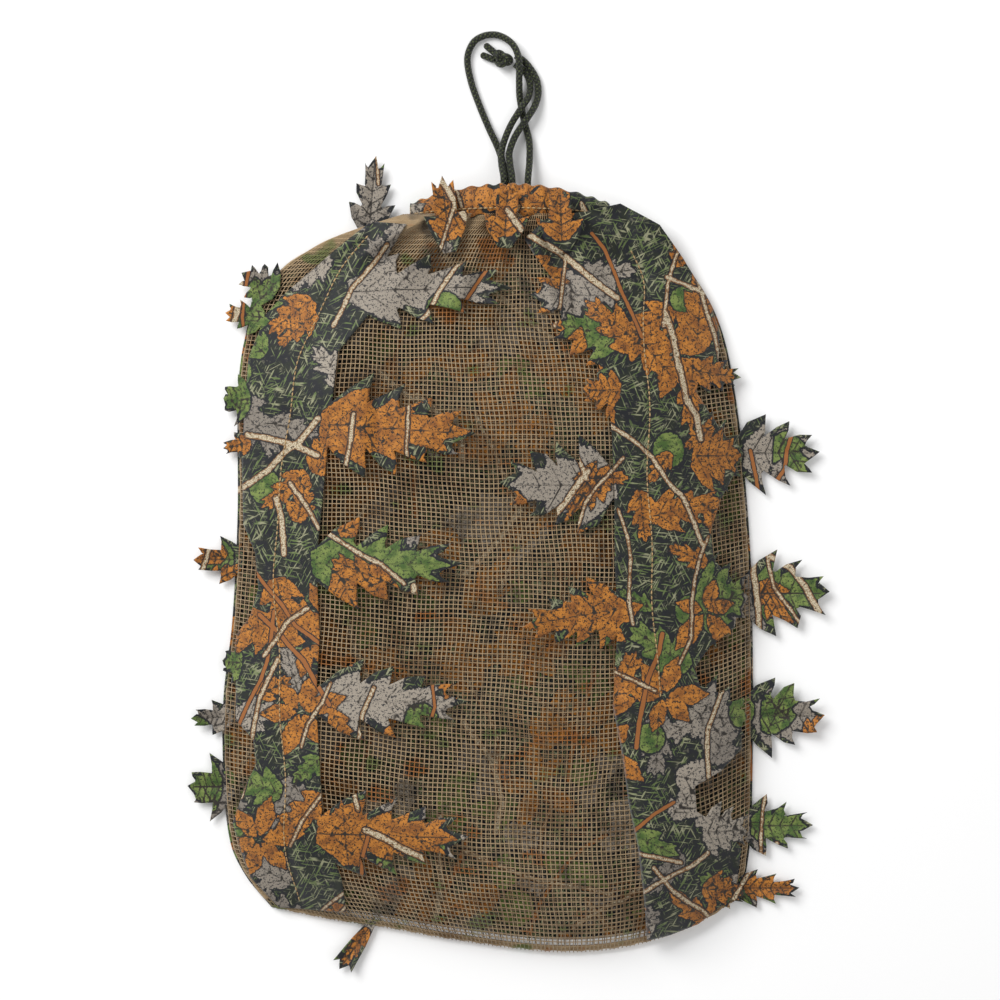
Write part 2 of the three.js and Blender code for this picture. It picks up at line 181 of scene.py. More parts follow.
def hump(x, middle, width):
    """1 at the middle, falling softly to 0 on both sides."""
    return np.exp(-(((x - middle) / width) ** 2))


def plan(u, v):
    """Point inside the outline: u from the left edge to the right one, v from the crown to the neck."""
    left_y = LEFT_EDGE[0][0] + (NECK_END - LEFT_EDGE[0][0]) * v
    right_y = RIGHT_EDGE[0][0] + (NECK_END - RIGHT_EDGE[0][0]) * v
    left = (along(LEFT_EDGE, left_y), left_y)
    right = (along(RIGHT_EDGE, right_y), right_y)
    crown_x = CROWN_EDGE[0][0] + (CROWN_EDGE[-1][0] - CROWN_EDGE[0][0]) * u
    crown = (crown_x, along(CROWN_EDGE, crown_x))
    neck = (LEFT_EDGE[-1][1] + (RIGHT_EDGE[-1][1] - LEFT_EDGE[-1][1]) * u, NECK_END)
    corners = (CROWN_EDGE[0], CROWN_EDGE[-1], (LEFT_EDGE[-1][1], NECK_END), (RIGHT_EDGE[-1][1], NECK_END))
    return [
        (1 - v) * crown[k] + v * neck[k] + (1 - u) * left[k] + u * right[k]
        - (1 - u) * (1 - v) * corners[0][k] - u * (1 - v) * corners[1][k]
        - (1 - u) * v * corners[2][k] - u * v * corners[3][k]
        for k in (0, 1)
    ]


def ripple(x, y, scale, phase=0.0):
    """Soft irregular waves between -1 and 1, the same on every run."""
    a = np.sin(x / scale + 1.7 * np.sin(y / (1.6 * scale) + phase) + phase)
    b = np.sin(y / (0.8 * scale) + 1.3 * np.sin(x / (1.9 * scale) + 2.1 * phase) + 1.1)
    return 0.5 * (a + b)


GATHERS = 8                # folds across the mask where the cord draws the neck shut
PLEATS = 23                # how closely the pleats are set round the middle of the neck
PLEAT_CENTRE = (2, 222)
SIDE_FOLD_X = -73          # an upright fold beside the left strip
CREASE_START = (60, 190)   # the crease and the roll that run out from the neck to the right shoulder
CREASE_SLOPE = 0.55
FOLD_LINE = [(-212, 77), (-188, 75), (-157, 71), (-134, 66), (-104, 62), (-79, 57), (-60, 50)]


def front_height(x, y):
    """Height of the netting's upper side over (x, y), with its folds."""
    x = np.asarray(x, float)
    y = np.asarray(y, float)
    left = along(LEFT_EDGE, y)
    right = along(RIGHT_EDGE, y)
    across = np.clip((x - left) / (right - left), 0, 1)
    arch = 1 - (2 * across - 1) ** 4
    from_crown = np.clip((y - along(CROWN_EDGE, x)) / 80, 0, 1)
    crown_rise = 1 - (1 - from_crown) ** 3
    edge = EDGE_HEIGHT + (NECK_EDGE_HEIGHT - EDGE_HEIGHT) * smoothstep(y, 160, NECK_END)
    puff = PUFF_AT_NECK + (PUFF - PUFF_AT_NECK) * smoothstep(NECK_END - y, 0, 110)
    inside = np.clip(4 * across * (1 - across), 0, 1) * np.clip(from_crown * 3, 0, 1)
    gathers = 2.2 * np.sin(across * 2 * math.pi * GATHERS + 0.02 * x) * smoothstep(y, 150, 190)
    from_neck = np.hypot(x - PLEAT_CENTRE[0], PLEAT_CENTRE[1] - y)
    spread = np.arctan2(x - PLEAT_CENTRE[0], PLEAT_CENTRE[1] - y)
    pleats = 3.0 * np.sin(PLEATS * spread + 1.5 * np.sin(5 * spread)) * smoothstep(from_neck, 30, 55)
    pleats = pleats * (1 - smoothstep(from_neck, 70, 135))
    waves = 1.6 * ripple(x, y, 27.0, 0.4)
    side_fold = -5.0 * hump(x, SIDE_FOLD_X, 6) * smoothstep(y, 35, 60) * (1 - smoothstep(y, 120, 140))
    from_crease = x - (CREASE_START[0] + CREASE_SLOPE * (CREASE_START[1] - y))
    crease = -4.5 * hump(from_crease, 0, 7) * smoothstep(y, 135, 165)
    roll = 3.0 * hump(from_crease, 14, 8) * smoothstep(y, 135, 165)
    valley = -11.0 * hump(x, along(FOLD_LINE, y) - 8, 12) * (1 - smoothstep(y, -75, -45))
    folds = gathers + pleats + waves + side_fold + crease + roll + valley
    return edge + puff * arch * crown_rise + inside * folds


# ---- Leaf outlines ----


def leaf_outline(length, width, lobes=3):
    """Points of a pointed, lobed leaf, from one side of its root at (0, 0) round its tip to the other."""
    side = [(0.0, 0.15 * width)]
    for k in range(lobes):
        reach = 0.5 * width * (1 - 0.56 * (k / max(lobes - 1, 1)) ** 1.2)
        tip = length * (0.12 + 0.80 * (k + 1) / lobes)
        back = length * (0.07 if k == lobes - 1 else 0.03)
        near_x, near_y = side[-1]
        side.append((near_x + 0.5 * (tip - near_x), near_y + 0.66 * (reach - near_y)))
        side.append((tip, reach))
        side.append((tip - 0.6 * back, 0.72 * reach))
        side.append((tip - back, 0.50 * reach))
        side.append((tip - 0.8 * back, 0.44 * reach))
    return side + [(length, 0.0)] + [(x, -y) for x, y in reversed(side)]


def place(points, x, y, heading, jitter=0.0, seed=0):
    """Turns and moves an outline; jitter shifts each point a little, the same way on every run."""
    points = np.array(points, float)
    if jitter:
        points = points + np.random.default_rng(seed).uniform(-jitter, jitter, points.shape)
    turn = math.radians(heading)
    c, s = math.cos(turn), math.sin(turn)
    return np.column_stack([x + c * points[:, 0] - s * points[:, 1], y + s * points[:, 0] + c * points[:, 1]])


def densify(polygon, spacing):
    """Adds points along the sides of a closed polygon."""
    out = []
    for a, b in zip(polygon, np.roll(polygon, -1, axis=0)):
        steps = max(1, int(round(np.linalg.norm(b - a) / spacing)))
        out.extend(a + (b - a) * k / steps for k in range(steps))
    return np.array(out)


def inside_polygon(points, polygon):
    """Which points lie inside a closed polygon."""
    hit = np.zeros(len(points), bool)
    for (ax, ay), (bx, by) in zip(polygon, np.roll(polygon, -1, axis=0)):
        crosses = (ay > points[:, 1]) != (by > points[:, 1])
        with np.errstate(divide="ignore", invalid="ignore"):
            at = (bx - ax) * (points[:, 1] - ay) / (by - ay) + ax
        hit ^= crosses & (points[:, 0] < at)
    return hit


def segment_distance(points, a, b):
    a = np.asarray(a, float)
    b = np.asarray(b, float)
    line = b - a
    t = np.clip(((points - a) @ line) / max(line @ line, 1e-9), 0, 1)
    return np.linalg.norm(points - a - t[:, None] * line, axis=1)


def polygon_distance(points, polygon):
    """Distance to a closed polygon's edge, negative inside."""
    best = np.full(len(points), 1e9)
    for a, b in zip(polygon, np.roll(polygon, -1, axis=0)):
        best = np.minimum(best, segment_distance(points, a, b))
    return np.where(inside_polygon(points, polygon), -best, best)


def line_points(line, spacing):
    """Points a spacing apart along a line."""
    line = np.array(line, float)
    out = []
    for a, b in zip(line, line[1:]):
        steps = max(1, int(np.linalg.norm(b - a) / spacing))
        out.extend(a + (b - a) * k / steps for k in range(steps))
    return np.array(out)


def triangulate(polygons, spacing, lines=()):
    """Flat triangles that fill the union of some closed polygons, with points along the lines given."""
    rims = [densify(polygon, spacing) for polygon in polygons]
    every = np.vstack(rims)
    low = every.min(0)
    high = every.max(0)
    columns = np.arange(low[0], high[0], spacing)
    rows = np.arange(low[1], high[1], spacing * 0.866)
    gx, gy = np.meshgrid(columns, rows)
    gx = gx + (np.arange(len(rows)) % 2)[:, None] * spacing * 0.5
    grid = np.column_stack([gx.ravel(), gy.ravel()])
    keep = np.zeros(len(grid), bool)
    close = np.zeros(len(grid), bool)
    for rim in rims:
        near = np.all((grid > rim.min(0) - spacing) & (grid < rim.max(0) + spacing), axis=1)
        index = np.nonzero(near)[0]
        signed = polygon_distance(grid[index], rim)
        keep[index] |= signed < 0
        close[index] |= np.abs(signed) < 0.5 * spacing
    grid = grid[keep & ~close]
    extra = [line_points(line, spacing) for line in lines]
    if extra:
        extra = np.vstack(extra)
        extra = extra[np.all((extra > low) & (extra < high), axis=1)]
    if len(extra):
        within = np.zeros(len(extra), bool)
        clear = np.ones(len(extra), bool)
        for rim in rims:
            signed = polygon_distance(extra, rim)
            within |= signed < 0
            clear &= np.abs(signed) > 0.4 * spacing
        extra = extra[within & clear]
        cell = {(int(x / spacing), int(y / spacing)) for x, y in extra}
        free = [(int(x / spacing), int(y / spacing)) not in cell for x, y in grid]
        grid = np.vstack([grid[np.array(free, bool)], extra])
    loops = []
    start = 0
    for rim in rims:
        loops.append(list(range(start, start + len(rim))))
        start += len(rim)
    points = [Vector(p) for p in every] + [Vector(p) for p in grid]
    found = geometry.delaunay_2d_cdt(points, [], loops, 1, 1e-4)
    return np.array([tuple(p) for p in found[0]]), [list(f) for f in found[2]]


# ---- The camouflage print ----
# Each leaf cut into a strip carries one printed leaf of its own colour. The rest of the print is scattered by
# rule, the same on every run. Where colours meet, grey lies over dark, green over grey and orange over green.
PRINT_REACH = ((-200.0, 200.0), (-240.0, 240.0))   # part of the flat cloth that is printed, x then y
LEAF_CELL = 30.0           # one scattered leaf starts in each square of this size
BRANCH_CELL = 46.0
WHORL_CELL = 95.0
ROUND_CELL = 80.0
SCATTERED_COLOURS = ("orange", "grey", "green", "orange", "grey")
# Broad parts of the mask where one colour leads: the colour, the middle and the radius.
COLOUR_AREAS = [
    ("orange", -120, -20, 50), ("orange", 75, 85, 50), ("orange", 0, 200, 50), ("grey", 105, -120, 45),
    ("green", 95, -35, 28), ("grey", -70, 175, 40),
]


def scatter(cell, seed):
    """A point in each square of the print, and the random numbers that shape what starts there."""
    random = np.random.default_rng(seed)
    (left, right), (low, high) = PRINT_REACH
    for y in np.arange(low, high, cell):
        for x in np.arange(left, right, cell):
            yield x + random.uniform(0, cell), y + random.uniform(0, cell), random


def printed_leaves():
    """Every printed leaf: colour, root x and y, heading in degrees, length and width."""
    leaves = []
    for x, y, random in scatter(LEAF_CELL, 3):
        colour = SCATTERED_COLOURS[random.integers(len(SCATTERED_COLOURS))]
        for leading, area_x, area_y, radius in COLOUR_AREAS:
            if math.dist((x, y), (area_x, area_y)) < radius:
                colour = leading
        heading = random.uniform(0, 360)
        length = random.uniform(20, 44)
        leaves.append((colour, x, y, heading, length, random.uniform(0.50, 0.75) * length))
    for x, y, heading, length, width, colour in LEFT_STRIP_LEAVES + RIGHT_STRIP_LEAVES:
        leaves.append((colour, x, y, heading, 0.92 * length, 0.84 * width))
    for _, x, y, heading, length, width, _, colour in FREE_LEAVES:
        leaves.append((colour, x, y, heading, 0.92 * length, 0.84 * width))
    return leaves


def printed_branches():
    """Every printed branch: tone, width and the points of its line, which wanders mostly along the mask."""
    branches = []
    for x, y, random in scatter(BRANCH_CELL, 5):
        tone = "rust" if random.random() < 0.25 else "cream"
        width = random.uniform(1.6, 2.4) if tone == "rust" else random.choice([2.0, 2.6, 3.6])
        heading = math.radians(90 + random.normal(0, 32))
        line = [(x, y)]
        for _ in range(random.integers(3, 7)):
            heading += random.normal(0, 0.20)
            reach = random.uniform(10, 17)
            line.append((line[-1][0] + reach * math.cos(heading), line[-1][1] + reach * math.sin(heading)))
        branches.append((tone, width, line))
    return branches


def printed_whorls():
    """Every whorl of narrow leaflets: its centre, and the heading and length of each leaflet."""
    whorls = []
    for x, y, random in scatter(WHORL_CELL, 7):
        count = int(random.integers(5, 7))
        turn = random.uniform(0, 60)
        leaflets = []
        for k in range(count):
            leaflets.append((turn + 360 * k / count + random.normal(0, 8), random.uniform(17, 28)))
        whorls.append((x, y, leaflets))
    return whorls


def printed_rounds():
    """Every round green leaf: its centre and half sizes."""
    return [(x, y, random.uniform(7, 10), random.uniform(8, 11)) for x, y, random in scatter(ROUND_CELL, 9)]


FAR = 6.0                  # distances in the print are kept no larger than this


def leaf_veins(x, y, heading, length, width):
    """Midrib and side veins of a printed leaf, as pairs of points."""
    turn = math.radians(heading)
    along_leaf = np.array([math.cos(turn), math.sin(turn)])
    beside = np.array([-along_leaf[1], along_leaf[0]])
    root = np.array([x, y], float)
    veins = [(root, root + along_leaf * length * 0.93)]
    for k in range(4):
        start = root + along_leaf * length * (0.10 + 0.20 * k)
        reach = 0.40 * width * math.sin(math.pi * (0.25 + 0.16 * k))
        for side in (-1, 1):
            veins.append((start, start + along_leaf * length * 0.17 + beside * side * reach))
    return veins


def near_motif(points, middle, radius):
    return np.nonzero(np.linalg.norm(points - np.asarray(middle, float), axis=1) < radius + FAR)[0]


def print_layers(points):
    """Signed distances, at some points of the cloth, to each kind of printed motif."""
    kinds = ("orange", "green", "grey", "cream", "rust", "vein")
    layers = {name: np.full(len(points), FAR) for name in kinds}

    def join(kind, index, distance):
        layers[kind][index] = np.minimum(layers[kind][index], distance)

    tone = np.zeros(len(points))
    for number, (colour, x, y, heading, length, width) in enumerate(printed_leaves()):
        turn = math.radians(heading)
        middle = (x + 0.5 * length * math.cos(turn), y + 0.5 * length * math.sin(turn))
        index = near_motif(points, middle, 0.75 * length)
        if not len(index):
            continue
        outline = place(leaf_outline(length, width), x, y, heading, 0.03 * width, 100 + number)
        signed = polygon_distance(points[index], outline)
        join(colour, index, signed)
        within = index[signed < 0.5]
        tone[within] = (number * 0.618) % 1.0
        for a, b in leaf_veins(x, y, heading, length, width):
            join("vein", within, segment_distance(points[within], a, b))
    for x, y, leaflets in printed_whorls():
        for heading, length in leaflets:
            index = near_motif(points, (x, y), length + 4)
            if not len(index):
                continue
            w = 0.17 * length + 1.2
            shape = [
                (2, 0), (0.3 * length, 0.8 * w), (0.65 * length, w), (length, 0), (0.6 * length, -w),
                (0.3 * length, -0.7 * w),
            ]
            join("orange", index, polygon_distance(points[index], place(shape, x, y, heading)))
    for x, y, half_x, half_y in printed_rounds():
        scaled = np.hypot((points[:, 0] - x) / half_x, (points[:, 1] - y) / half_y)
        join("green", slice(None), (scaled - 1) * half_x)
    for tone_name, width, line in printed_branches():
        for a, b in zip(line, line[1:]):
            index = near_motif(points, np.mean([a, b], axis=0), 0.5 * math.dist(a, b) + width)
            if len(index):
                join(tone_name, index, segment_distance(points[index], a, b) - 0.5 * width)
    layers["tone"] = tone
    return layers


def add_print(obj, points, offset=(0.0, 0.0)):
    """Stores the print on a cloth's vertices; points are where its vertices lie in the flat cloth."""
    for name, values in print_layers(points + np.asarray(offset)).items():
        add_layer(obj.data, name, values)
    add_layer(obj.data, "flat", np.column_stack([points * MM, np.zeros(len(points))]))


# ---- Materials ----


def srgb(red, green, blue):
    """Linear colour of an sRGB colour given from 0 to 255."""
    out = []
    for value in (red, green, blue):
        value /= 255
        out.append(value / 12.92 if value <= 0.04045 else ((value + 0.055) / 1.055) ** 2.4)
    return (*out, 1.0)


class Graph:
    """Short names for building a material's nodes."""

    def __init__(self, name, roughness=0.8, sheen=0.0, specular=0.3):
        self.material = bpy.data.materials.new(name)
        self.material.use_nodes = True
        self.tree = self.material.node_tree
        self.shader = self.tree.nodes["Principled BSDF"]
        self.shader.inputs["Roughness"].default_value = roughness
        self.shader.inputs["Sheen Weight"].default_value = sheen
        self.shader.inputs["Specular IOR Level"].default_value = specular

    def feed(self, node, inputs):
        """Wires or sets some of a node's inputs."""
        for key, value in inputs.items():
            if isinstance(value, bpy.types.NodeSocket):
                self.tree.links.new(value, node.inputs[key])
            else:
                node.inputs[key].default_value = value

    def node(self, kind, inputs, output=0, **settings):
        """One output of a new node."""
        made = self.tree.nodes.new(kind)
        for key, value in settings.items():
            setattr(made, key, value)
        self.feed(made, inputs)
        return made.outputs[output]

    def math(self, operation, a, b=0.0):
        return self.node("ShaderNodeMath", {0: a, 1: b}, operation=operation)

    def plus(self, a, b, share):
        """a plus a share of b."""
        return self.math("ADD", a, self.math("MULTIPLY", b, share))

    def value(self, name):
        return self.node("ShaderNodeAttribute", {}, "Fac", attribute_name=name)

    def vector(self, name):
        return self.node("ShaderNodeAttribute", {}, "Vector", attribute_name=name)

    def place(self):
        return self.node("ShaderNodeTexCoord", {}, "Object")

    def stretched(self, vector, scale):
        return self.node("ShaderNodeMapping", {"Vector": vector, "Scale": scale})

    def turned(self, vector, angle, scale):
        """The vector turned about z, then stretched."""
        made = self.node("ShaderNodeMapping", {"Vector": vector, "Rotation": (0.0, 0.0, angle)})
        return self.stretched(made, scale)

    def noise(self, vector, scale, detail=2.0, roughness=0.5):
        inputs = {"Vector": vector, "Scale": scale, "Detail": detail, "Roughness": roughness}
        return self.node("ShaderNodeTexNoise", inputs, "Fac")

    def step(self, value, low, high):
        """0 below low, 1 above high."""
        inputs = {"Value": value, "From Min": low, "From Max": high}
        return self.node("ShaderNodeMapRange", inputs, clamp=True)

    def mix(self, factor, a, b, mode="MIX"):
        inputs = {"Factor": factor, "A": a, "B": b}
        return self.node("ShaderNodeMix", inputs, "Result", data_type="RGBA", blend_type=mode)

    def bump(self, height, strength, distance):
        inputs = {"Strength": strength, "Distance": distance, "Height": height}
        self.feed(self.shader, {"Normal": self.node("ShaderNodeBump", inputs, "Normal")})

    def colour(self, value, painted_light=1.0):
        """The surface's colour; a light factor below 1 darkens all of it, as painted shade."""
        if painted_light != 1.0:
            value = self.mix(1.0, value, (painted_light, painted_light, painted_light, 1.0), "MULTIPLY")
        self.feed(self.shader, {"Base Color": value})


DARK = srgb(20, 22, 28)
DARK_GREEN = srgb(28, 34, 22)
GRASS = srgb(92, 108, 60)
PALE_GRASS = srgb(146, 146, 116)
GREY = srgb(160, 150, 136)
GREEN = srgb(118, 134, 68)
ORANGE = srgb(190, 122, 44)
DEEP_ORANGE = srgb(136, 82, 30)
CREAM = srgb(206, 194, 168)
RUST = srgb(150, 92, 42)


def printed_material(name, painted_light=1.0, roughness=0.62, sheen=0.15):
    """Cloth with the leaf, branch and grass print, from the layers stored on the vertices; a light factor
    below 1 darkens the print as painted shade.
    """
    g = Graph(name, roughness, sheen)
    flat = g.vector("flat")
    ragged = g.noise(flat, 620.0, 3.0, 0.65)
    coarse = g.noise(flat, 160.0, 2.0)
    fine = g.noise(flat, 1500.0, 2.0, 0.6)
    shift = g.math("MULTIPLY", g.math("SUBTRACT", ragged, 0.5), 4.2)
    shift = g.plus(shift, g.math("SUBTRACT", coarse, 0.5), 3.0)

    def speckled(colour, ink, amount):
        """A colour with dark specks of ink; amount from 0, none, to 1, nearly all."""
        grain = g.plus(g.math("MULTIPLY", ragged, 0.6), fine, 0.4)
        return g.mix(g.step(grain, 0.62 - 0.25 * amount, 0.58 - 0.25 * amount), ink, colour)

    base = g.mix(g.step(coarse, 0.45, 0.62), DARK, DARK_GREEN)
    base = g.mix(g.step(g.noise(flat, 330.0, 3.0, 0.7), 0.58, 0.66), base, srgb(84, 82, 70))
    for turn, low in ((0.5, 0.38), (1.7, 0.44), (2.7, 0.48), (1.1, 0.50)):
        blades = g.step(g.noise(g.turned(flat, turn, (1.0, 0.09, 1.0)), 980.0, 1.0), 0.60, 0.635)
        grassy = g.step(g.noise(flat, 34.0 + 9.0 * turn, 1.0), low, low + 0.05)
        grass = g.mix(g.step(coarse, 0.45, 0.6), GRASS, PALE_GRASS)
        base = g.mix(g.math("MULTIPLY", blades, grassy), base, grass)
    grey = g.mix(g.step(g.value("tone"), 0.2, 0.9), GREY, srgb(128, 120, 110))
    green = g.mix(g.step(coarse, 0.4, 0.62), GREEN, srgb(66, 92, 38))
    orange = g.mix(g.step(coarse, 0.38, 0.66), ORANGE, DEEP_ORANGE)
    bark = g.mix(g.step(fine, 0.46, 0.56), CREAM, srgb(150, 128, 96))
    bark = g.mix(g.step(ragged, 0.56, 0.62), bark, srgb(70, 52, 34))
    # From the bottom up: distance where a layer starts, where it is full, how ragged its edge is, colour.
    for layer, start, full, sway, colour in (
        ("grey", 1.4, 0.9, 1.0, DARK),
        ("grey", 0.15, -0.15, 1.0, speckled(grey, srgb(44, 42, 44), 0.22)),
        ("green", 1.3, 0.9, 0.6, DARK),
        ("green", 0.15, -0.15, 0.5, speckled(green, srgb(34, 46, 26), 0.2)),
        ("orange", 0.9, 0.4, 0.8, DARK),
        ("orange", 0.15, -0.15, 0.45, speckled(orange, srgb(48, 32, 20), 0.25)),
        ("vein", 0.55, 0.2, 0.2, srgb(40, 34, 28)),
        ("rust", 0.7, 0.3, 0.5, DARK),
        ("rust", 0.1, -0.15, 0.2, RUST),
        ("cream", 0.75, 0.35, 0.55, DARK),
        ("cream", 0.1, -0.2, 0.35, srgb(124, 86, 48)),
        ("cream", -0.35, -0.75, 0.6, bark),
    ):
        cover = g.step(g.plus(g.value(layer), shift, sway), start, full)
        base = g.mix(cover, base, colour)
    weave = g.noise(g.stretched(flat, (1.0, 0.35, 1.0)), 5200.0, 1.0)
    base = g.mix(g.math("MULTIPLY", g.step(weave, 0.35, 0.65), 0.18), base, (0.0, 0.0, 0.0, 1.0))
    g.colour(base, painted_light)
    g.bump(g.plus(coarse, g.noise(flat, 2600.0, 2.0), 0.5), 0.35, 0.0004)
    return g.material


def net_material(name, painted_light=1.0):
    """Tan netting thread with a faint camouflage tint and a rough, hairy surface; a light factor below 1
    darkens it as painted shade.
    """
    g = Graph(name, 0.85, 0.2, 0.2)
    at = g.place()
    tint = g.noise(at, 26.0, 3.0, 0.6)
    second = g.noise(g.stretched(at, (1.0, 1.4, 1.0)), 41.0, 2.0)
    base = g.mix(g.step(tint, 0.52, 0.62), srgb(168, 144, 110), srgb(132, 106, 74))
    base = g.mix(g.step(second, 0.60, 0.68), base, srgb(156, 100, 46))
    base = g.mix(g.step(second, 0.36, 0.30), base, srgb(112, 118, 68))
    base = g.mix(g.step(tint, 0.40, 0.32), base, srgb(96, 84, 66))
    hairs = g.step(g.noise(at, 1900.0, 2.0), 0.4, 0.7)
    base = g.mix(g.math("MULTIPLY", hairs, 0.3), base, srgb(90, 70, 48))
    g.colour(base, painted_light)
    g.bump(g.noise(at, 3800.0, 1.0), 0.4, 0.0002)
    return g.material


def thread_material():
    g = Graph("stitch_thread", 0.55, 0.1, 0.4)
    at = g.place()
    base = g.mix(g.step(g.noise(at, 900.0, 2.0), 0.4, 0.6), srgb(188, 158, 112), srgb(140, 112, 74))
    g.colour(base)
    g.bump(g.noise(at, 5200.0, 1.0), 0.5, 0.0002)
    return g.material


BRAID_STRANDS = 8          # half of them turn each way round the cord
BRAID_PITCH = 2.6          # length of the braid's repeat along the cord


def cord_material():
    """Olive round braid with black flecks; the braid runs both ways round the cord."""
    g = Graph("braided_cord", 0.5, 0.1, 0.35)
    uv = g.node("ShaderNodeUVMap", {}, "UV", uv_map="braid")
    around = g.math("MULTIPLY", g.node("ShaderNodeSeparateXYZ", {0: uv}, "X"), BRAID_STRANDS * math.pi)
    down = g.math("MULTIPLY", g.node("ShaderNodeSeparateXYZ", {0: uv}, "Y"), 2 * math.pi / BRAID_PITCH)
    right = g.math("SINE", g.math("ADD", around, down))
    left = g.math("SINE", g.math("SUBTRACT", around, down))
    strands = g.math("MAXIMUM", right, left)
    over = g.math("MULTIPLY", right, left)
    flecks = g.noise(g.place(), 700.0, 1.0)
    base = g.mix(g.step(over, -0.25, 0.25), srgb(22, 26, 16), srgb(72, 80, 46))
    base = g.mix(g.step(flecks, 0.52, 0.62), base, srgb(30, 34, 22))
    # Near black where neither strand rises: painted shade in the grooves between the strands.
    base = g.mix(g.step(strands, 0.35, -0.1), base, srgb(10, 12, 8))
    g.colour(base)
    g.bump(g.plus(strands, over, 0.5), 0.9, 0.0004)
    return g.material


def floor_material():
    g = Graph("floor", 0.9, 0.0, 0.1)
    g.colour(g.mix(g.noise(g.place(), 3.0, 1.0), (0.93, 0.93, 0.93, 1), (0.95, 0.95, 0.95, 1)))
    return g.material


LEAF_CLOTH = printed_material("leaf_cloth")
# inner_cloth: the same print dimmed to 0.85 as painted shade, for the back cloth inside the hood
INNER_CLOTH = printed_material("inner_cloth", painted_light=0.85, roughness=0.9, sheen=0.0)
NETTING = net_material("net_thread")
# back_net_thread: the same thread dimmed to half as painted shade, for the back net inside the hood
BACK_NETTING = net_material("back_net_thread", painted_light=0.5)
STITCHES = thread_material()
CORD = cord_material()

# ---- Netting ----


def flat_threads(paths, width, height):
    """Vertices and faces of flat threads. paths has shape (threads, points, 3)."""
    paths = np.asarray(paths, float)
    count, length, _ = paths.shape
    tangent = np.gradient(paths, axis=1)
    tangent /= np.linalg.norm(tangent, axis=2, keepdims=True)
    up = np.array([0.0, 0.0, 1.0]) - tangent * tangent[:, :, 2:3]
    up /= np.maximum(np.linalg.norm(up, axis=2, keepdims=True), 1e-6)
    side = np.cross(tangent, up)
    rim = np.stack([side * width / 2, up * height / 2, -side * width / 2, -up * height / 2], axis=2)
    vertices = (paths[:, :, None, :] + rim).reshape(-1, 3)
    start = (np.arange(count) * length * 4)[:, None, None]
    ring = (np.arange(length - 1) * 4)[None, :, None]
    corner = np.arange(4)[None, None, :]
    a = start + ring + corner
    b = start + ring + (corner + 1) % 4
    faces = np.stack([a, b, b + 4, a + 4], axis=-1).reshape(-1, 4)
    first = start[:, 0, :] + np.array([[3, 2, 1, 0]])
    final = start[:, 0, :] + (length - 1) * 4 + np.array([[0, 1, 2, 3]])
    return vertices, np.vstack([faces, first, final])


def net_piece(name, lengthwise, crosswise, height, material):
    """One net: its lengthwise and crosswise threads in one mesh."""
    vertices, faces = flat_threads(lengthwise, THREAD_WIDTH, height)
    more_vertices, more_faces = flat_threads(crosswise, THREAD_WIDTH, height)
    faces = np.vstack([faces, more_faces + len(vertices)])
    return make_object(name, np.vstack([vertices, more_vertices]), faces, material)


def weave_shift(x, y):
    """How the netting's threads stray from straight lines."""
    dx = 1.1 * ripple(x, y, 19.0, 0.9) + 0.5 * ripple(x, y, 7.0, 2.2)
    dy = 1.3 * ripple(y, x, 21.0, 1.7) + 0.5 * ripple(y, x, 8.0, 0.3)
    return dx, dy


NET_SIZE = (292.0, 404.0)  # width and length of each net laid flat
THREAD_BEND = 0.12         # how far a thread rises and falls as it weaves
THREAD_DEPTH = 0.3         # middle of the threads below the netting's upper side


def front_thread(u, v, number, first):
    """One thread of the front netting. It strays a little, except at the netting's edges."""
    x, y = plan(u, v)
    dx, dy = weave_shift(x, y)
    hold = np.clip(12 * u * (1 - u), 0, 1) * np.clip(12 * v * (1 - v), 0, 1)
    x = x + dx * hold
    y = y + dy * hold
    over = THREAD_BEND * np.where(np.arange(len(u)) % 2 == number % 2, first, -first)
    return np.column_stack([x, y, front_height(x, y) + over - THREAD_DEPTH])


def make_netting():
    warp_count = int(NET_SIZE[0] / NET_PITCH)
    weft_count = int(NET_SIZE[1] / NET_PITCH)
    v = np.linspace(0.0, 1.0, 105)
    warp = [front_thread(np.full_like(v, (k + 0.5) / warp_count), v, k, 1) for k in range(warp_count)]
    u = np.linspace(0.003, 0.997, 80)
    weft = [front_thread(u, np.full_like(u, (k + 0.5) / weft_count), k, -1) for k in range(weft_count)]
    return net_piece("front_netting", warp, weft, THREAD_HEIGHT, NETTING)


def back_thread(u, v, height):
    x, y = plan(u, v)
    return np.column_stack([x, y, height + 0.25 * ripple(x, y, 18.0, 1.0)])


def make_back_netting():
    """The netting of the back half, seen through the holes of the front one, just over the back cloth. Its
    thread is dimmed as painted shade.
    """
    columns = int(NET_SIZE[0] / BACK_NET_PITCH)
    rows = int(NET_SIZE[1] / BACK_NET_PITCH)
    v = np.linspace(0.01, 0.99, 110)
    warp = [back_thread(np.full_like(v, (k + 1.0) / (columns + 1)), v, 2.5) for k in range(columns)]
    u = np.linspace(0.01, 0.99, 80)
    weft = [back_thread(u, np.full_like(u, (k + 1.0) / (rows + 1)), 2.7) for k in range(rows)]
    return net_piece("back_netting", warp, weft, 0.3, BACK_NETTING)


def declare_net(netting, node):
    """Puts a net on the hood and hides the CAD node it stands for, if one is given."""
    finish_piece(netting, node)


# ---- Sheets of printed cloth ----


def cloth(name, polygons, height, spacing):
    """A sheet cut to the union of some polygons. height(x, y) gives the height of its upper side."""
    points, faces = triangulate(polygons, spacing, [line for _, _, line in printed_branches()])
    z = height(points[:, 0], points[:, 1])
    obj = make_object(name, np.column_stack([points, z]), faces, LEAF_CLOTH)
    add_print(obj, points)
    thicken(obj, CLOTH)
    return obj


def flat_area(polygons):
    """Flat area in square metres of the union of some polygons."""
    points, faces = triangulate(polygons, 3.0)
    total = 0.0
    for face in faces:
        corners = points[face]
        a = corners[1] - corners[0]
        b = corners[2] - corners[0]
        total += 0.5 * abs(a[0] * b[1] - a[1] * b[0])
    return total * MM * MM


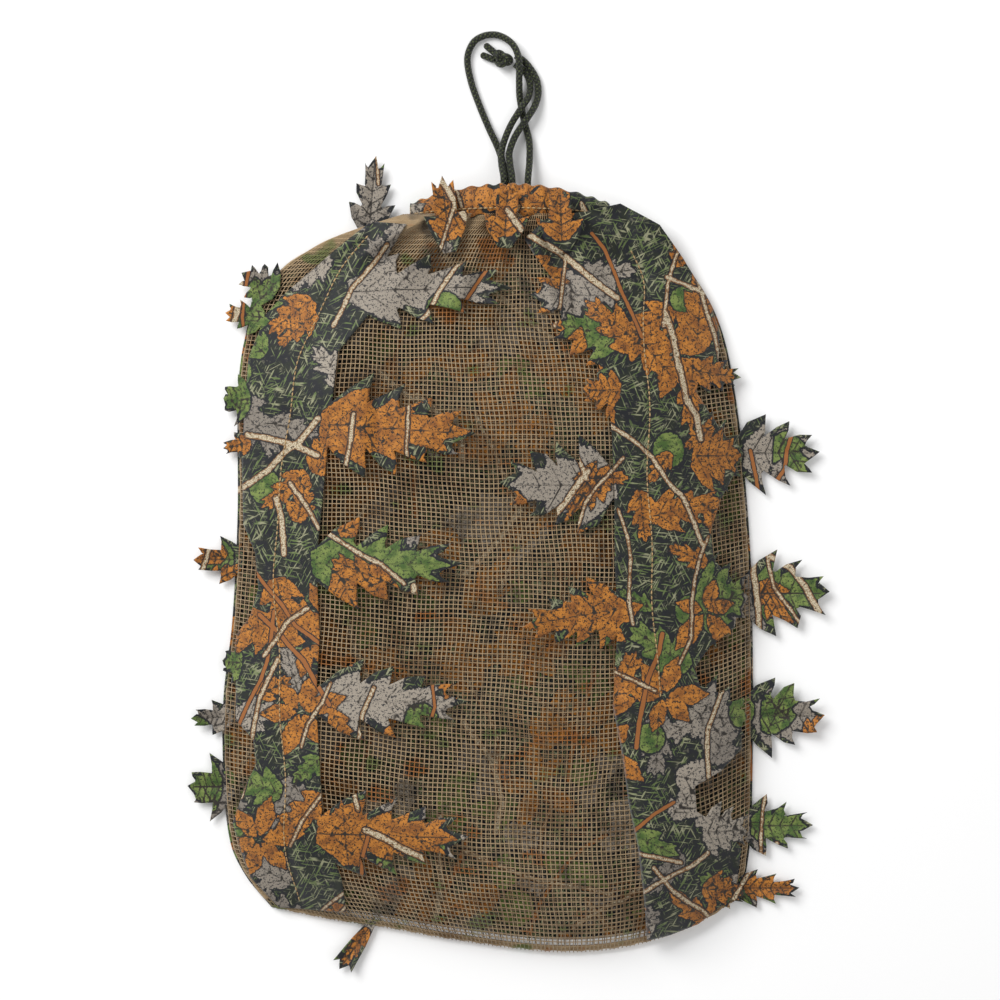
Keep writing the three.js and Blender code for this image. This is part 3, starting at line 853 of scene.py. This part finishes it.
LEFT_SEAM_LINE = [
    (-190, -119), (-161, -125), (-116, -126), (-80, -128), (-36, -130), (0, -132), (36, -129), (78, -124),
    (110, -119), (132, -110), (164, -96), (186, -77),
]
RIGHT_SEAM_LINE = [
    (-188, 98), (-160, 96), (-134, 94), (-104, 90), (-74, 84), (-36, 80), (0, 79), (37, 77), (92, 77),
    (137, 74.5), (160, 74), (180, 66),
]
LEFT_STRIP_BAND = [
    (-78, 192), (-58, 190), (-70, 170), (-78, 140), (-96, 118), (-100, 80), (-104, 40), (-108, 0),
    (-106, -40), (-108, -76), (-106, -110), (-104, -150), (-94, -176), (-92, -196), (-130, -194),
    (-146, -177), (-152, -160), (-156, -146), (-148, -124), (-142, -112), (-144, -98), (-154, -88),
    (-154, -40), (-146, -30), (-141, -14), (-143, 6), (-150, 22), (-151, 60), (-149, 90), (-147, 116),
    (-137, 140), (-128, 150), (-112, 164), (-98, 176),
]
# Leaves cut into the strips' edges: root x and y, heading, length, width, and the colour printed on them.
LEFT_STRIP_LEAVES = [
    (-90, 152, 2, 91, 44, "grey"), (-105, 78, -4, 85, 58, "orange"), (-110, 0, 0, 83, 50, "green"),
    (-108, -76, 0, 84, 46, "grey"), (-108, -150, -1, 86, 50, "orange"), (-132, 152, 148, 22, 30, "grey"),
    (-138, 138, 172, 23, 22, "green"), (-146, 92, 178, 16, 30, "green"), (-146, 68, 192, 16, 16, "orange"),
    (-150, -56, 175, 12, 26, "green"),
]
RIGHT_STRIP_BAND = [
    (22, 194), (42, 197), (62, 202), (84, 190), (97, 172), (106, 158), (112, 148), (118, 130), (117, 112),
    (106, 104), (104, 96), (112, 84), (122, 70), (126, 50), (118, 36), (112, 18), (114, 2), (124, -8),
    (128, -22), (126, -36), (112, -46), (103, -58), (106, -68), (122, -74), (130, -88), (130, -104),
    (118, -116), (103, -124), (104, -138), (120, -148), (130, -160), (128, -178), (122, -190), (106, -203),
    (90, -209), (77, -212), (75, -188), (71, -157), (66, -134), (62, -104), (57, -79), (58, -60), (60, -30),
    (58, 0), (58, 40), (56, 80), (50, 108), (44, 130), (30, 152), (14, 172), (8, 182),
]
RIGHT_STRIP_LEAVES = [
    (58, 150, 180, 47, 46, "grey"), (62, 126, 168, 40, 40, "green"), (62, 96, 178, 22, 30, "orange"),
    (58, 44, 180, 64, 56, "grey"), (64, -24, 190, 58, 40, "orange"), (104, 108, -8, 26, 24, "orange"),
    (102, 60, 2, 30, 52, "orange"), (104, -20, 0, 30, 54, "green"), (104, -86, 0, 30, 46, "grey"),
    (108, -150, 0, 26, 36, "grey"), (108, -182, -8, 26, 26, "orange"),
]


def strip_polygons(band, leaves, seed):
    polygons = [np.array(band, float)]
    for number, (x, y, heading, length, width, _) in enumerate(leaves):
        lobes = 4 if length > 50 else 3 if length > 20 else 2
        outline = leaf_outline(length, width, lobes)
        polygons.append(place(outline, x, y, heading, 0.025 * width, seed + number))
    return polygons


LAYER = 1.1                # how far a strip lies above the netting where it is sewn down


def sewn_height(x, y, away, reach, scale, phases, sewn=1.0):
    """Upper side of a strip: pinched down along its stitches and lifting towards its edges."""
    waves = 1 + 0.7 * ripple(x, y, scale, phases[0])
    lift = 3.2 * (away / reach) ** 1.3 * waves + 0.35 * ripple(x, y, 6.0, phases[1])
    pinch = -1.1 * hump(away, 0, 4) * sewn
    return front_height(x, y) + LAYER + 0.7 + lift + pinch


def left_strip_height(x, y):
    away = np.abs(x - along(LEFT_SEAM_LINE, y))
    return sewn_height(x, y, away, 95, 16.0, (2.0, 0.7))


def right_strip_height(x, y):
    """As on the left, with the fold rolled over near the crown and the leaf that curls up above it."""
    away = np.abs(x - along(RIGHT_SEAM_LINE, y))
    folded = 1 - smoothstep(y, -78, -60)
    from_fold = np.clip(x - along(FOLD_LINE, y), 0, 60)
    roll = 6.0 * np.sqrt(np.clip(1 - (1 - np.clip(from_fold / 7, 0, 1)) ** 2, 0, 1)) * np.exp(-from_fold / 45)
    curl = 7.0 * smoothstep(-x, -30, -8) * smoothstep(y, -64, -44) * (1 - smoothstep(y, 0, 12))
    sewn = smoothstep(y, -90, -70)
    return sewn_height(x, y, away, 80, 15.0, (3.1, 1.9), sewn) + folded * roll + curl


def make_strips():
    spacing = 1.2
    for side, band, leaves, height, seed in (
        ("left", LEFT_STRIP_BAND, LEFT_STRIP_LEAVES, left_strip_height, 20),
        ("right", RIGHT_STRIP_BAND, RIGHT_STRIP_LEAVES, right_strip_height, 40),
    ):
        shape = strip_polygons(band, leaves, seed)
        piece = cloth(side + "_strip_cloth", shape, height, spacing)
        finish_piece(piece, side + "_leaf_strip")
        area = flat_area(shape)


# ---- Stitch lines ----
STITCH = 3.0               # from one stitch to the next
STITCH_GAP = 0.25          # bare cloth at each end of a stitch
STITCH_RISE = np.array([-0.15, 0.35, 0.45, 0.35, -0.15])
STITCH_RADII = (0.2, 0.4, 0.45, 0.4, 0.2)
STITCH_SIDES = 6


def stitch_row(name, line, height, node):
    """A row of short thread stitches along a line of (x, y) points."""
    vertices = []
    faces = []
    lengths = np.concatenate([[0], np.cumsum(np.linalg.norm(np.diff(line, axis=0), axis=1))])
    for start in np.arange(0, lengths[-1] - STITCH, STITCH):
        ts = np.linspace(start + STITCH_GAP, start + STITCH - STITCH_GAP, len(STITCH_RADII))
        xs = np.interp(ts, lengths, line[:, 0])
        ys = np.interp(ts, lengths, line[:, 1])
        path = np.column_stack([xs, ys, height(xs, ys) + STITCH_RISE])
        tangent = path[-1] - path[0]
        tangent /= np.linalg.norm(tangent)
        side = np.cross(tangent, (0, 0, 1))
        up = np.cross(side, tangent)
        first = len(vertices)
        for point, radius in zip(path, STITCH_RADII):
            for k in range(STITCH_SIDES):
                angle = 2 * math.pi * k / STITCH_SIDES
                vertices.append(point + radius * (math.cos(angle) * side + math.sin(angle) * up))
        for ring in range(len(STITCH_RADII) - 1):
            for k in range(STITCH_SIDES):
                a = first + ring * STITCH_SIDES + k
                b = first + ring * STITCH_SIDES + (k + 1) % STITCH_SIDES
                faces.append([a, b, b + STITCH_SIDES, a + STITCH_SIDES])
        last = len(vertices) - STITCH_SIDES
        faces.append([first + k for k in reversed(range(STITCH_SIDES))])
        faces.append([last + k for k in range(STITCH_SIDES)])
    finish_piece(make_object(name, vertices, faces, STITCHES), node)


def seam_row(seam_line, low, high):
    """The slightly wavy line of a strip's stitches between two heights on the mask."""
    ys = np.linspace(low, high, 160)
    return np.column_stack([along(seam_line, ys) + 0.7 * np.sin(ys / 11.0), ys])


# ---- Back panel, and the grid sheets that the side bands also use ----


def grid_sheet(name, us, vs, height, material, offset=(0.0, 0.0)):
    """A thick printed sheet over a grid of the outline's (u, v). height(x, y) gives its upper side."""
    u, v = np.meshgrid(us, vs)
    x, y = plan(u.ravel(), v.ravel())
    z = height(x, y)
    columns = len(us)
    at = np.arange(len(vs) * columns).reshape(len(vs), columns)
    faces = np.stack([at[:-1, :-1], at[:-1, 1:], at[1:, 1:], at[1:, :-1]], axis=-1).reshape(-1, 4)
    obj = make_object(name, np.column_stack([x, y, z]), faces, material)
    add_print(obj, np.column_stack([x, y]), offset)
    thicken(obj, THICK_CLOTH)
    return obj


def back_height(x, y):
    return 1.5 + 0.5 * ripple(x, y, 18.0, 1.0)


BACK_PRINT_SHIFT = (37.0, 21.0)   # the back shows another part of the print than the strips over it


def make_back():
    step = 190
    us = np.linspace(0.012, 0.988, step)
    vs = np.linspace(0.02, 1.0, int(step * 1.3))
    # The back cloth wears inner_cloth, whose print is dimmed as painted shade.
    back = grid_sheet("back_cloth", us, vs, back_height, INNER_CLOTH, BACK_PRINT_SHIFT)
    finish_piece(back, "back_panel")


# ---- Cords ----
LOOP_ROUTE = [
    (-1.6, 190, 8.8), (-1.6, 214, 8.7), (-3.6, 224, 5.6), (-6.8, 234, 2.9), (-11.8, 245, 2.1),
    (-16.8, 257, 2.1), (-21.8, 271, 2.1), (-24, 284, 2.1), (-21, 293, 2.1), (-15.5, 297, 2.1),
    (-9, 298, 2.2), (-3.5, 296.3, 3.2), (1.7, 292, 5.6), (4.6, 285.5, 7.4), (5.2, 278, 7.1),
    (5.2, 270, 5.0), (5.6, 262, 2.5), (7.8, 250, 2.1), (10.8, 238, 2.9), (11, 226, 5.4), (10, 214, 8.7),
    (9.6, 190, 8.8),
]
OUTER_END_ROUTE = [
    (1.3, 190, 13.1), (1.3, 214, 13.0), (0.1, 224, 10.0), (-0.3, 231, 7.8), (2.3, 239, 6.6),
    (6.2, 245.5, 6.4), (10.8, 252, 6.4), (14.4, 258.5, 4.2), (16, 265, 2.3), (15.2, 272, 2.1),
    (12, 278.2, 2.1), (8, 283, 2.1), (3.2, 286.2, 2.6),
]
INNER_END_ROUTE = [
    (-3.4, 190, 13.1), (-3.4, 214, 13.0), (-4.7, 224, 10.0), (-4.9, 231, 7.9), (-2.6, 239.5, 6.6),
    (0.7, 247, 6.5), (4.2, 252.8, 6.5), (7.2, 257.5, 6.5), (10.3, 262.5, 4.6), (11.4, 268, 2.5),
    (10.4, 273.5, 2.1), (7.4, 278, 2.1), (2.6, 281.3, 2.6),
]
KNOT_CENTRE = (-4.2, 284.0, 4.6)
KNOT_HEADING = -30
UPPER_TAIL_ROUTE = [(-7.0, 286.6, 4.0), (-9.3, 288.2, 3.4), (-12, 290.6, 2.4), (-14.4, 292.6, 2.2)]
LOWER_TAIL_ROUTE = [(-7.5, 283.8, 3.6), (-10.5, 284.3, 2.9), (-13.4, 285.6, 2.3), (-16.6, 286.8, 2.2)]


ROUTE_STEP = 0.55          # about how far apart a cord's rings lie


def smooth_route(route):
    """Points about a step apart on the smooth line through a route's points."""
    points = [np.array(p, float) for p in route]
    padded = [2 * points[0] - points[1], *points, 2 * points[-1] - points[-2]]
    out = []
    for a, b, c, d in zip(padded, padded[1:], padded[2:], padded[3:]):
        count = max(2, int(np.linalg.norm(c - b) / ROUTE_STEP))
        for k in range(count):
            t = k / count
            out.append(0.5 * (2 * b + (c - a) * t + (2 * a - 5 * b + 4 * c - d) * t * t
                              + (3 * b - a - 3 * c + d) * t ** 3))
    out.append(points[-1])
    return np.array(out)


def cord_tube(name, centre, radius, sides=14, closed=False, round_ends=False, material=None):
    """A round cord along its centre line, with the braid's coordinates."""
    count = len(centre)
    tangent = np.gradient(centre, axis=0)
    if closed:
        tangent = np.roll(centre, -1, axis=0) - np.roll(centre, 1, axis=0)
    tangent /= np.linalg.norm(tangent, axis=1, keepdims=True)
    side = np.cross(tangent[0], (0.0, 0.0, 1.0))
    side /= np.linalg.norm(side)
    sides_along = []
    for t in tangent:
        side = side - t * (side @ t)
        side /= np.linalg.norm(side)
        sides_along.append(side)
    side = np.array(sides_along)
    up = np.cross(side, tangent)
    angle = 2 * math.pi * np.arange(sides) / sides
    swell = np.ones(count)
    if round_ends:
        from_end = np.minimum(np.arange(count), np.arange(count)[::-1]) * ROUTE_STEP
        swell = np.sqrt(np.clip(1 - (1 - np.clip(from_end / (0.8 * radius), 0, 1)) ** 2, 0.04, 1))
    ring = np.cos(angle)[None, :, None] * side[:, None, :] + np.sin(angle)[None, :, None] * up[:, None, :]
    vertices = (centre[:, None, :] + radius * swell[:, None, None] * ring).reshape(-1, 3)
    length = np.concatenate([[0], np.cumsum(np.linalg.norm(np.diff(centre, axis=0), axis=1))])
    faces = []
    uvs = []
    last = count if closed else count - 1
    for k in range(last):
        after = (k + 1) % count
        near = length[k]
        far = near + ROUTE_STEP if after == 0 else length[after]
        for i in range(sides):
            j = (i + 1) % sides
            faces.append([k * sides + i, k * sides + j, after * sides + j, after * sides + i])
            start, end = i / sides, (i + 1) / sides
            uvs += [(start, near), (end, near), (end, far), (start, far)]
    if not closed:
        faces.append(list(reversed(range(sides))))
        uvs += [(0, 0)] * sides
        faces.append([(count - 1) * sides + i for i in range(sides)])
        uvs += [(0, length[-1])] * sides
    obj = make_object(name, vertices, faces, material or CORD)
    layer = obj.data.uv_layers.new(name="braid")
    layer.data.foreach_set("uv", np.array(uvs, np.float32).ravel())
    return obj


def knot_line():
    """Centre line of the knot: an overhand knot is a trefoil with its ends led out."""
    t = np.linspace(0, 2 * math.pi, 90, endpoint=False)
    x = 1.55 * (np.sin(t) + 2 * np.sin(2 * t))
    y = 1.15 * (np.cos(t) - 2 * np.cos(2 * t))
    z = -1.7 * np.sin(3 * t)
    flat = place(np.column_stack([x, y]), KNOT_CENTRE[0], KNOT_CENTRE[1], KNOT_HEADING)
    return np.column_stack([flat, KNOT_CENTRE[2] + z])


def make_cords():
    radius = CORD_DIAMETER / 2
    routes = {"loop": LOOP_ROUTE, "outer_end": OUTER_END_ROUTE, "inner_end": INNER_END_ROUTE}
    lines = {part: smooth_route(route) for part, route in routes.items()}
    pieces = {part: cord_tube("cord_" + part, line, radius) for part, line in lines.items()}
    pieces["knot"] = cord_tube("cord_knot", knot_line(), radius * 0.95, closed=True)
    for part, route in (("upper_tail", UPPER_TAIL_ROUTE), ("lower_tail", LOWER_TAIL_ROUTE)):
        pieces[part] = cord_tube("cord_" + part, smooth_route(route), radius, round_ends=True)
    for part, piece in pieces.items():
        finish_piece(piece, "drawcord_" + part, "drawcord")
    knotted = [pieces["knot"], pieces["upper_tail"], pieces["lower_tail"]]
    ends = (("loop", "object", []), ("outer_end", "knot", knotted), ("inner_end", "knot", []))
    for part, far_end, extra in ends:
        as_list(extra)


# ---- Rolled hems, side bands and the gathered neck ----
HEM_HALF_WIDTH = 56.0
HEM_MIDDLE_Y = 202.3
HEM_HALF_HEIGHT = 3.2
GATHER_PITCH = 8.5         # from one gather of the neck's hem to the next
ROLL_SIDES = 10            # points round a rolled edge


def rolled_hem(name, centre, radius, node):
    """A rolled and twisted edge of netting."""
    piece = cord_tube(name, centre, radius, sides=ROLL_SIDES, round_ends=True, material=NETTING)
    count = len(piece.data.vertices)
    at = np.zeros(count * 3)
    piece.data.vertices.foreach_get("co", at)
    at = at.reshape(-1, 3)
    along_hem = np.arange(count) // ROLL_SIDES
    around = 2 * math.pi * (np.arange(count) % ROLL_SIDES) / ROLL_SIDES
    twist = 0.22 * radius * MM * np.sin(2 * around + 0.45 * along_hem)
    away = at - np.repeat(centre * MM, ROLL_SIDES, axis=0)
    at = at + away / np.maximum(np.linalg.norm(away, axis=1, keepdims=True), 1e-9) * twist[:, None]
    piece.data.vertices.foreach_set("co", at.ravel())
    finish_piece(piece, node)


def band_height(x, y):
    return 0.8 + 0.15 * ripple(x, y, 7.0)


def make_edges():
    v = np.linspace(0.012, 0.985, 420)
    for side, share in (("left", 0.006), ("right", 0.994)):
        x, y = plan(np.full_like(v, share), v)
        centre = np.column_stack([x, y, 2.4 + 0.2 * ripple(x, y, 9.0)])
        rolled_hem(side + "_rolled_hem", centre, 1.0, side + "_side_seam")
    u = np.linspace(0.012, 0.988, 380)
    x, y = plan(u, np.full_like(u, 0.005))
    rolled_hem("crown_rolled_hem", np.column_stack([x, y, 1.9 + 0.2 * ripple(x, y, 9.0)]), 1.5, "crown_seam")
    for side, low, high in (("left", -0.002, 0.03), ("right", 0.97, 1.002)):
        us = np.linspace(low, high, 8)
        band = grid_sheet(side + "_band_cloth", us, np.linspace(0.0, 1.0, 300), band_height, LEAF_CLOTH)
        finish_piece(band, side + "_side_band")


def hem_bow(x):
    """How far the hem falls back towards its ends."""
    return -6.0 * (x / HEM_HALF_WIDTH) ** 2


def front_hem_rise(x):
    """Height of the front hem's underside: the closed mouth bows up over the back hem."""
    return 2 * HEM_HALF_HEIGHT + 0.3 + 10.0 * (1 - (x / HEM_HALF_WIDTH) ** 2)


def hem_top(x, y):
    return front_hem_rise(x) + 2 * HEM_HALF_HEIGHT + 0.15


def gathered_hem(name, rise, dome, node):
    """A soft sleeve of cloth, gathered along the drawcord."""
    stations = 260
    around = 28
    x = np.linspace(-HEM_HALF_WIDTH, HEM_HALF_WIDTH, stations)[:, None]
    angle = (2 * math.pi * np.arange(around) / around)[None, :]
    gather = np.sin(2 * math.pi * x / GATHER_PITCH + 1.6 * np.sin(x / 9.0))
    bow = hem_bow(x)
    outer = np.clip(np.cos(angle), 0, 1)
    inner = np.clip(-np.cos(angle), 0, 1)
    y = HEM_MIDDLE_Y + bow * (0.4 + 0.6 * outer) - (2.0 + 0.8 * gather) * inner
    y = y + (5.9 + (0.6 * gather + dome * (1 - (x / HEM_HALF_WIDTH) ** 2)) * outer) * np.cos(angle)
    z = rise(x) + HEM_HALF_HEIGHT + (HEM_HALF_HEIGHT - 0.1 + 0.3 * gather * outer) * np.sin(angle)
    across = x + 0.5 * gather * np.sin(angle)
    vertices = np.stack([across, y, z], axis=-1).reshape(-1, 3)
    at = np.arange(stations * around).reshape(stations, around)
    nearer, farther = at[:-1], at[1:]
    faces = np.stack([nearer, np.roll(nearer, -1, 1), np.roll(farther, -1, 1), farther], axis=-1)
    piece = make_object(name, vertices, faces.reshape(-1, 4), LEAF_CLOTH)
    flat = np.stack([x + 0 * angle, HEM_MIDDLE_Y + 6 * angle + 0 * x], axis=-1).reshape(-1, 2)
    add_print(piece, flat)
    thicken(piece, THICK_CLOTH)
    finish_piece(piece, node)


def back_hem_rise(x):
    return 0 * x + 0.1


def make_neck():
    gathered_hem("back_hem", back_hem_rise, 1.0, "neck_casing_back")
    gathered_hem("front_hem", front_hem_rise, 4.5, "neck_casing_front")
    inner_half = HEM_HALF_WIDTH - 2
    x = np.linspace(-inner_half, inner_half, 200)
    cord_y = HEM_MIDDLE_Y + 0.75 * hem_bow(x)
    for side, rise in (("back", 0 * x), ("front", front_hem_rise(x))):
        centre = np.column_stack([x, cord_y, rise + HEM_HALF_HEIGHT])
        piece = cord_tube(side + "_cord_in_hem", centre, CORD_DIAMETER / 2)
        finish_piece(piece, "cased_cord_" + side)
    row = np.linspace(-inner_half, inner_half, 80)
    line = np.column_stack([row, 199.1 + 0.5 * hem_bow(row)])
    stitch_row("neck_stitches", line, hem_top, "neck_stitching_front")


# ---- Free leaves ----
# Name, root x and y, heading, length, width, how many lobes each side has, and the colour printed on it.
FREE_LEAVES = [
    ("right_leaf_1", 132.2, 62, 0, 41.8, 46, 3, "grey"),
    ("right_leaf_2", 137.2, -17, 0, 43.8, 50, 3, "green"),
    ("right_leaf_3", 137.8, -86, 0, 39.2, 46, 3, "grey"),
    ("right_leaf_4", 136.6, -148, 0, 33.4, 34, 3, "green"),
    ("right_leaf_5", 131.6, -183, 0, 32, 22, 3, "orange"),
    ("shoulder_leaf", -79, 192.5, 85, 36.5, 26, 3, "grey"),
    ("left_leaf_1", -155.8, 2, 180, 21.7, 28, 2, "green"),
    ("left_leaf_2", -162.8, -87, 180, 16.2, 20, 2, "grey"),
    ("left_leaf_3", -162.2, -126, 180, 18.8, 38, 2, "green"),
    ("crown_leaf", -80, -206, 235, 28, 12, 1, "orange"), ("neck_leaf_1", -34, 181, 97, 36, 26, 2, "orange"),
    ("neck_leaf_2", -3, 183, 86, 30, 26, 2, "orange"), ("neck_leaf_3", 29, 181, 92, 30, 28, 2, "orange"),
]
TUCK = 7.0                 # how much of a free leaf's foot is hidden under the mask's edge


def make_leaf(name, x, y, heading, length, width, lobes, _):
    """A free leaf, its foot tucked under the mask's edge. Its tip rises; a neck leaf's droops again."""
    spacing = 0.9
    turn = math.radians(heading)
    ahead = np.array([math.cos(turn), math.sin(turn)])
    beside = np.array([-ahead[1], ahead[0]])
    seed = sum(ord(letter) for letter in name)
    neck = name.startswith("neck")
    root_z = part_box(name)[0].z / MM + 0.5 if neck else 3.9
    outline = leaf_outline(length + TUCK, width, lobes)
    polygon = place(outline, x - TUCK * ahead[0], y - TUCK * ahead[1], heading, 0.03 * width, seed)

    def height(px, py):
        t = ((px - x) * ahead[0] + (py - y) * ahead[1]) / length
        s = ((px - x) * beside[0] + (py - y) * beside[1]) / (0.5 * width)
        if neck:
            rise = 3.6 * t - 5.5 * np.clip(t - 0.55, 0, 1) ** 1.2 + 1.2 * ripple(px, py, 7.0, seed)
        else:
            rise = -1.6 * t + (3.0 + seed % 4) * np.clip(t, 0, 1) ** 2 + 0.5 * ripple(px, py, 8.0, seed)
            rise = rise + 1.6 * np.clip(t, 0, 1) * np.abs(s) ** 1.5
        return root_z + rise - 0.9 * hump(s * width, 0, 5)

    piece = cloth(name + "_cloth", [polygon], height, spacing)
    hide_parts(name)
    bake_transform(piece)
    flat_area([polygon])


# ---- Put together ----
make_cords()
make_back()
make_edges()
make_neck()
declare_net(make_netting(), "front_net")
declare_net(make_back_netting(), None)
make_strips()
for strip, seam, strip_height in (
    ("left_strip", seam_row(LEFT_SEAM_LINE, -190, 186), left_strip_height),
    ("right_strip", seam_row(RIGHT_SEAM_LINE, -74, 178), right_strip_height),
):
    stitch_row(strip + "_stitches", seam, strip_height, strip + "_stitching")
for leaf in FREE_LEAVES:
    make_leaf(*leaf)


# ---- Floor and light ----
FLOOR = 3.0                # half the floor's side, in metres like everything in this section


def make_stage():
    bpy.context.scene.view_settings.view_transform = "Standard"
    mesh = bpy.data.meshes.new("floor")
    corners = [(-FLOOR, -FLOOR, 0), (FLOOR, -FLOOR, 0), (FLOOR, FLOOR, 0), (-FLOOR, FLOOR, 0)]
    mesh.from_pydata(corners, [], [(0, 1, 2, 3)])
    floor = add_object("floor", mesh)
    mesh.materials.append(floor_material())
    floor.location.z = -0.0002
    world = bpy.data.worlds.new("studio")
    world.use_nodes = True
    background = world.node_tree.nodes["Background"]
    background.inputs["Color"].default_value = (1.0, 1.0, 1.0, 1.0)
    background.inputs["Strength"].default_value = 0.5
    bpy.context.scene.world = world
    for name, place_at, size, power in (
        ("key", (-1.1, 1.1, 1.5), 1.2, 40.0), ("fill", (1.0, -0.4, 1.8), 2.0, 8.0),
    ):
        lamp = bpy.data.lights.new(name, "AREA")
        lamp.size = size
        lamp.energy = power
        holder = add_object(name, lamp)
        holder.location = place_at
        holder.rotation_euler = Vector(place_at).to_track_quat("Z", "Y").to_euler()


make_stage()
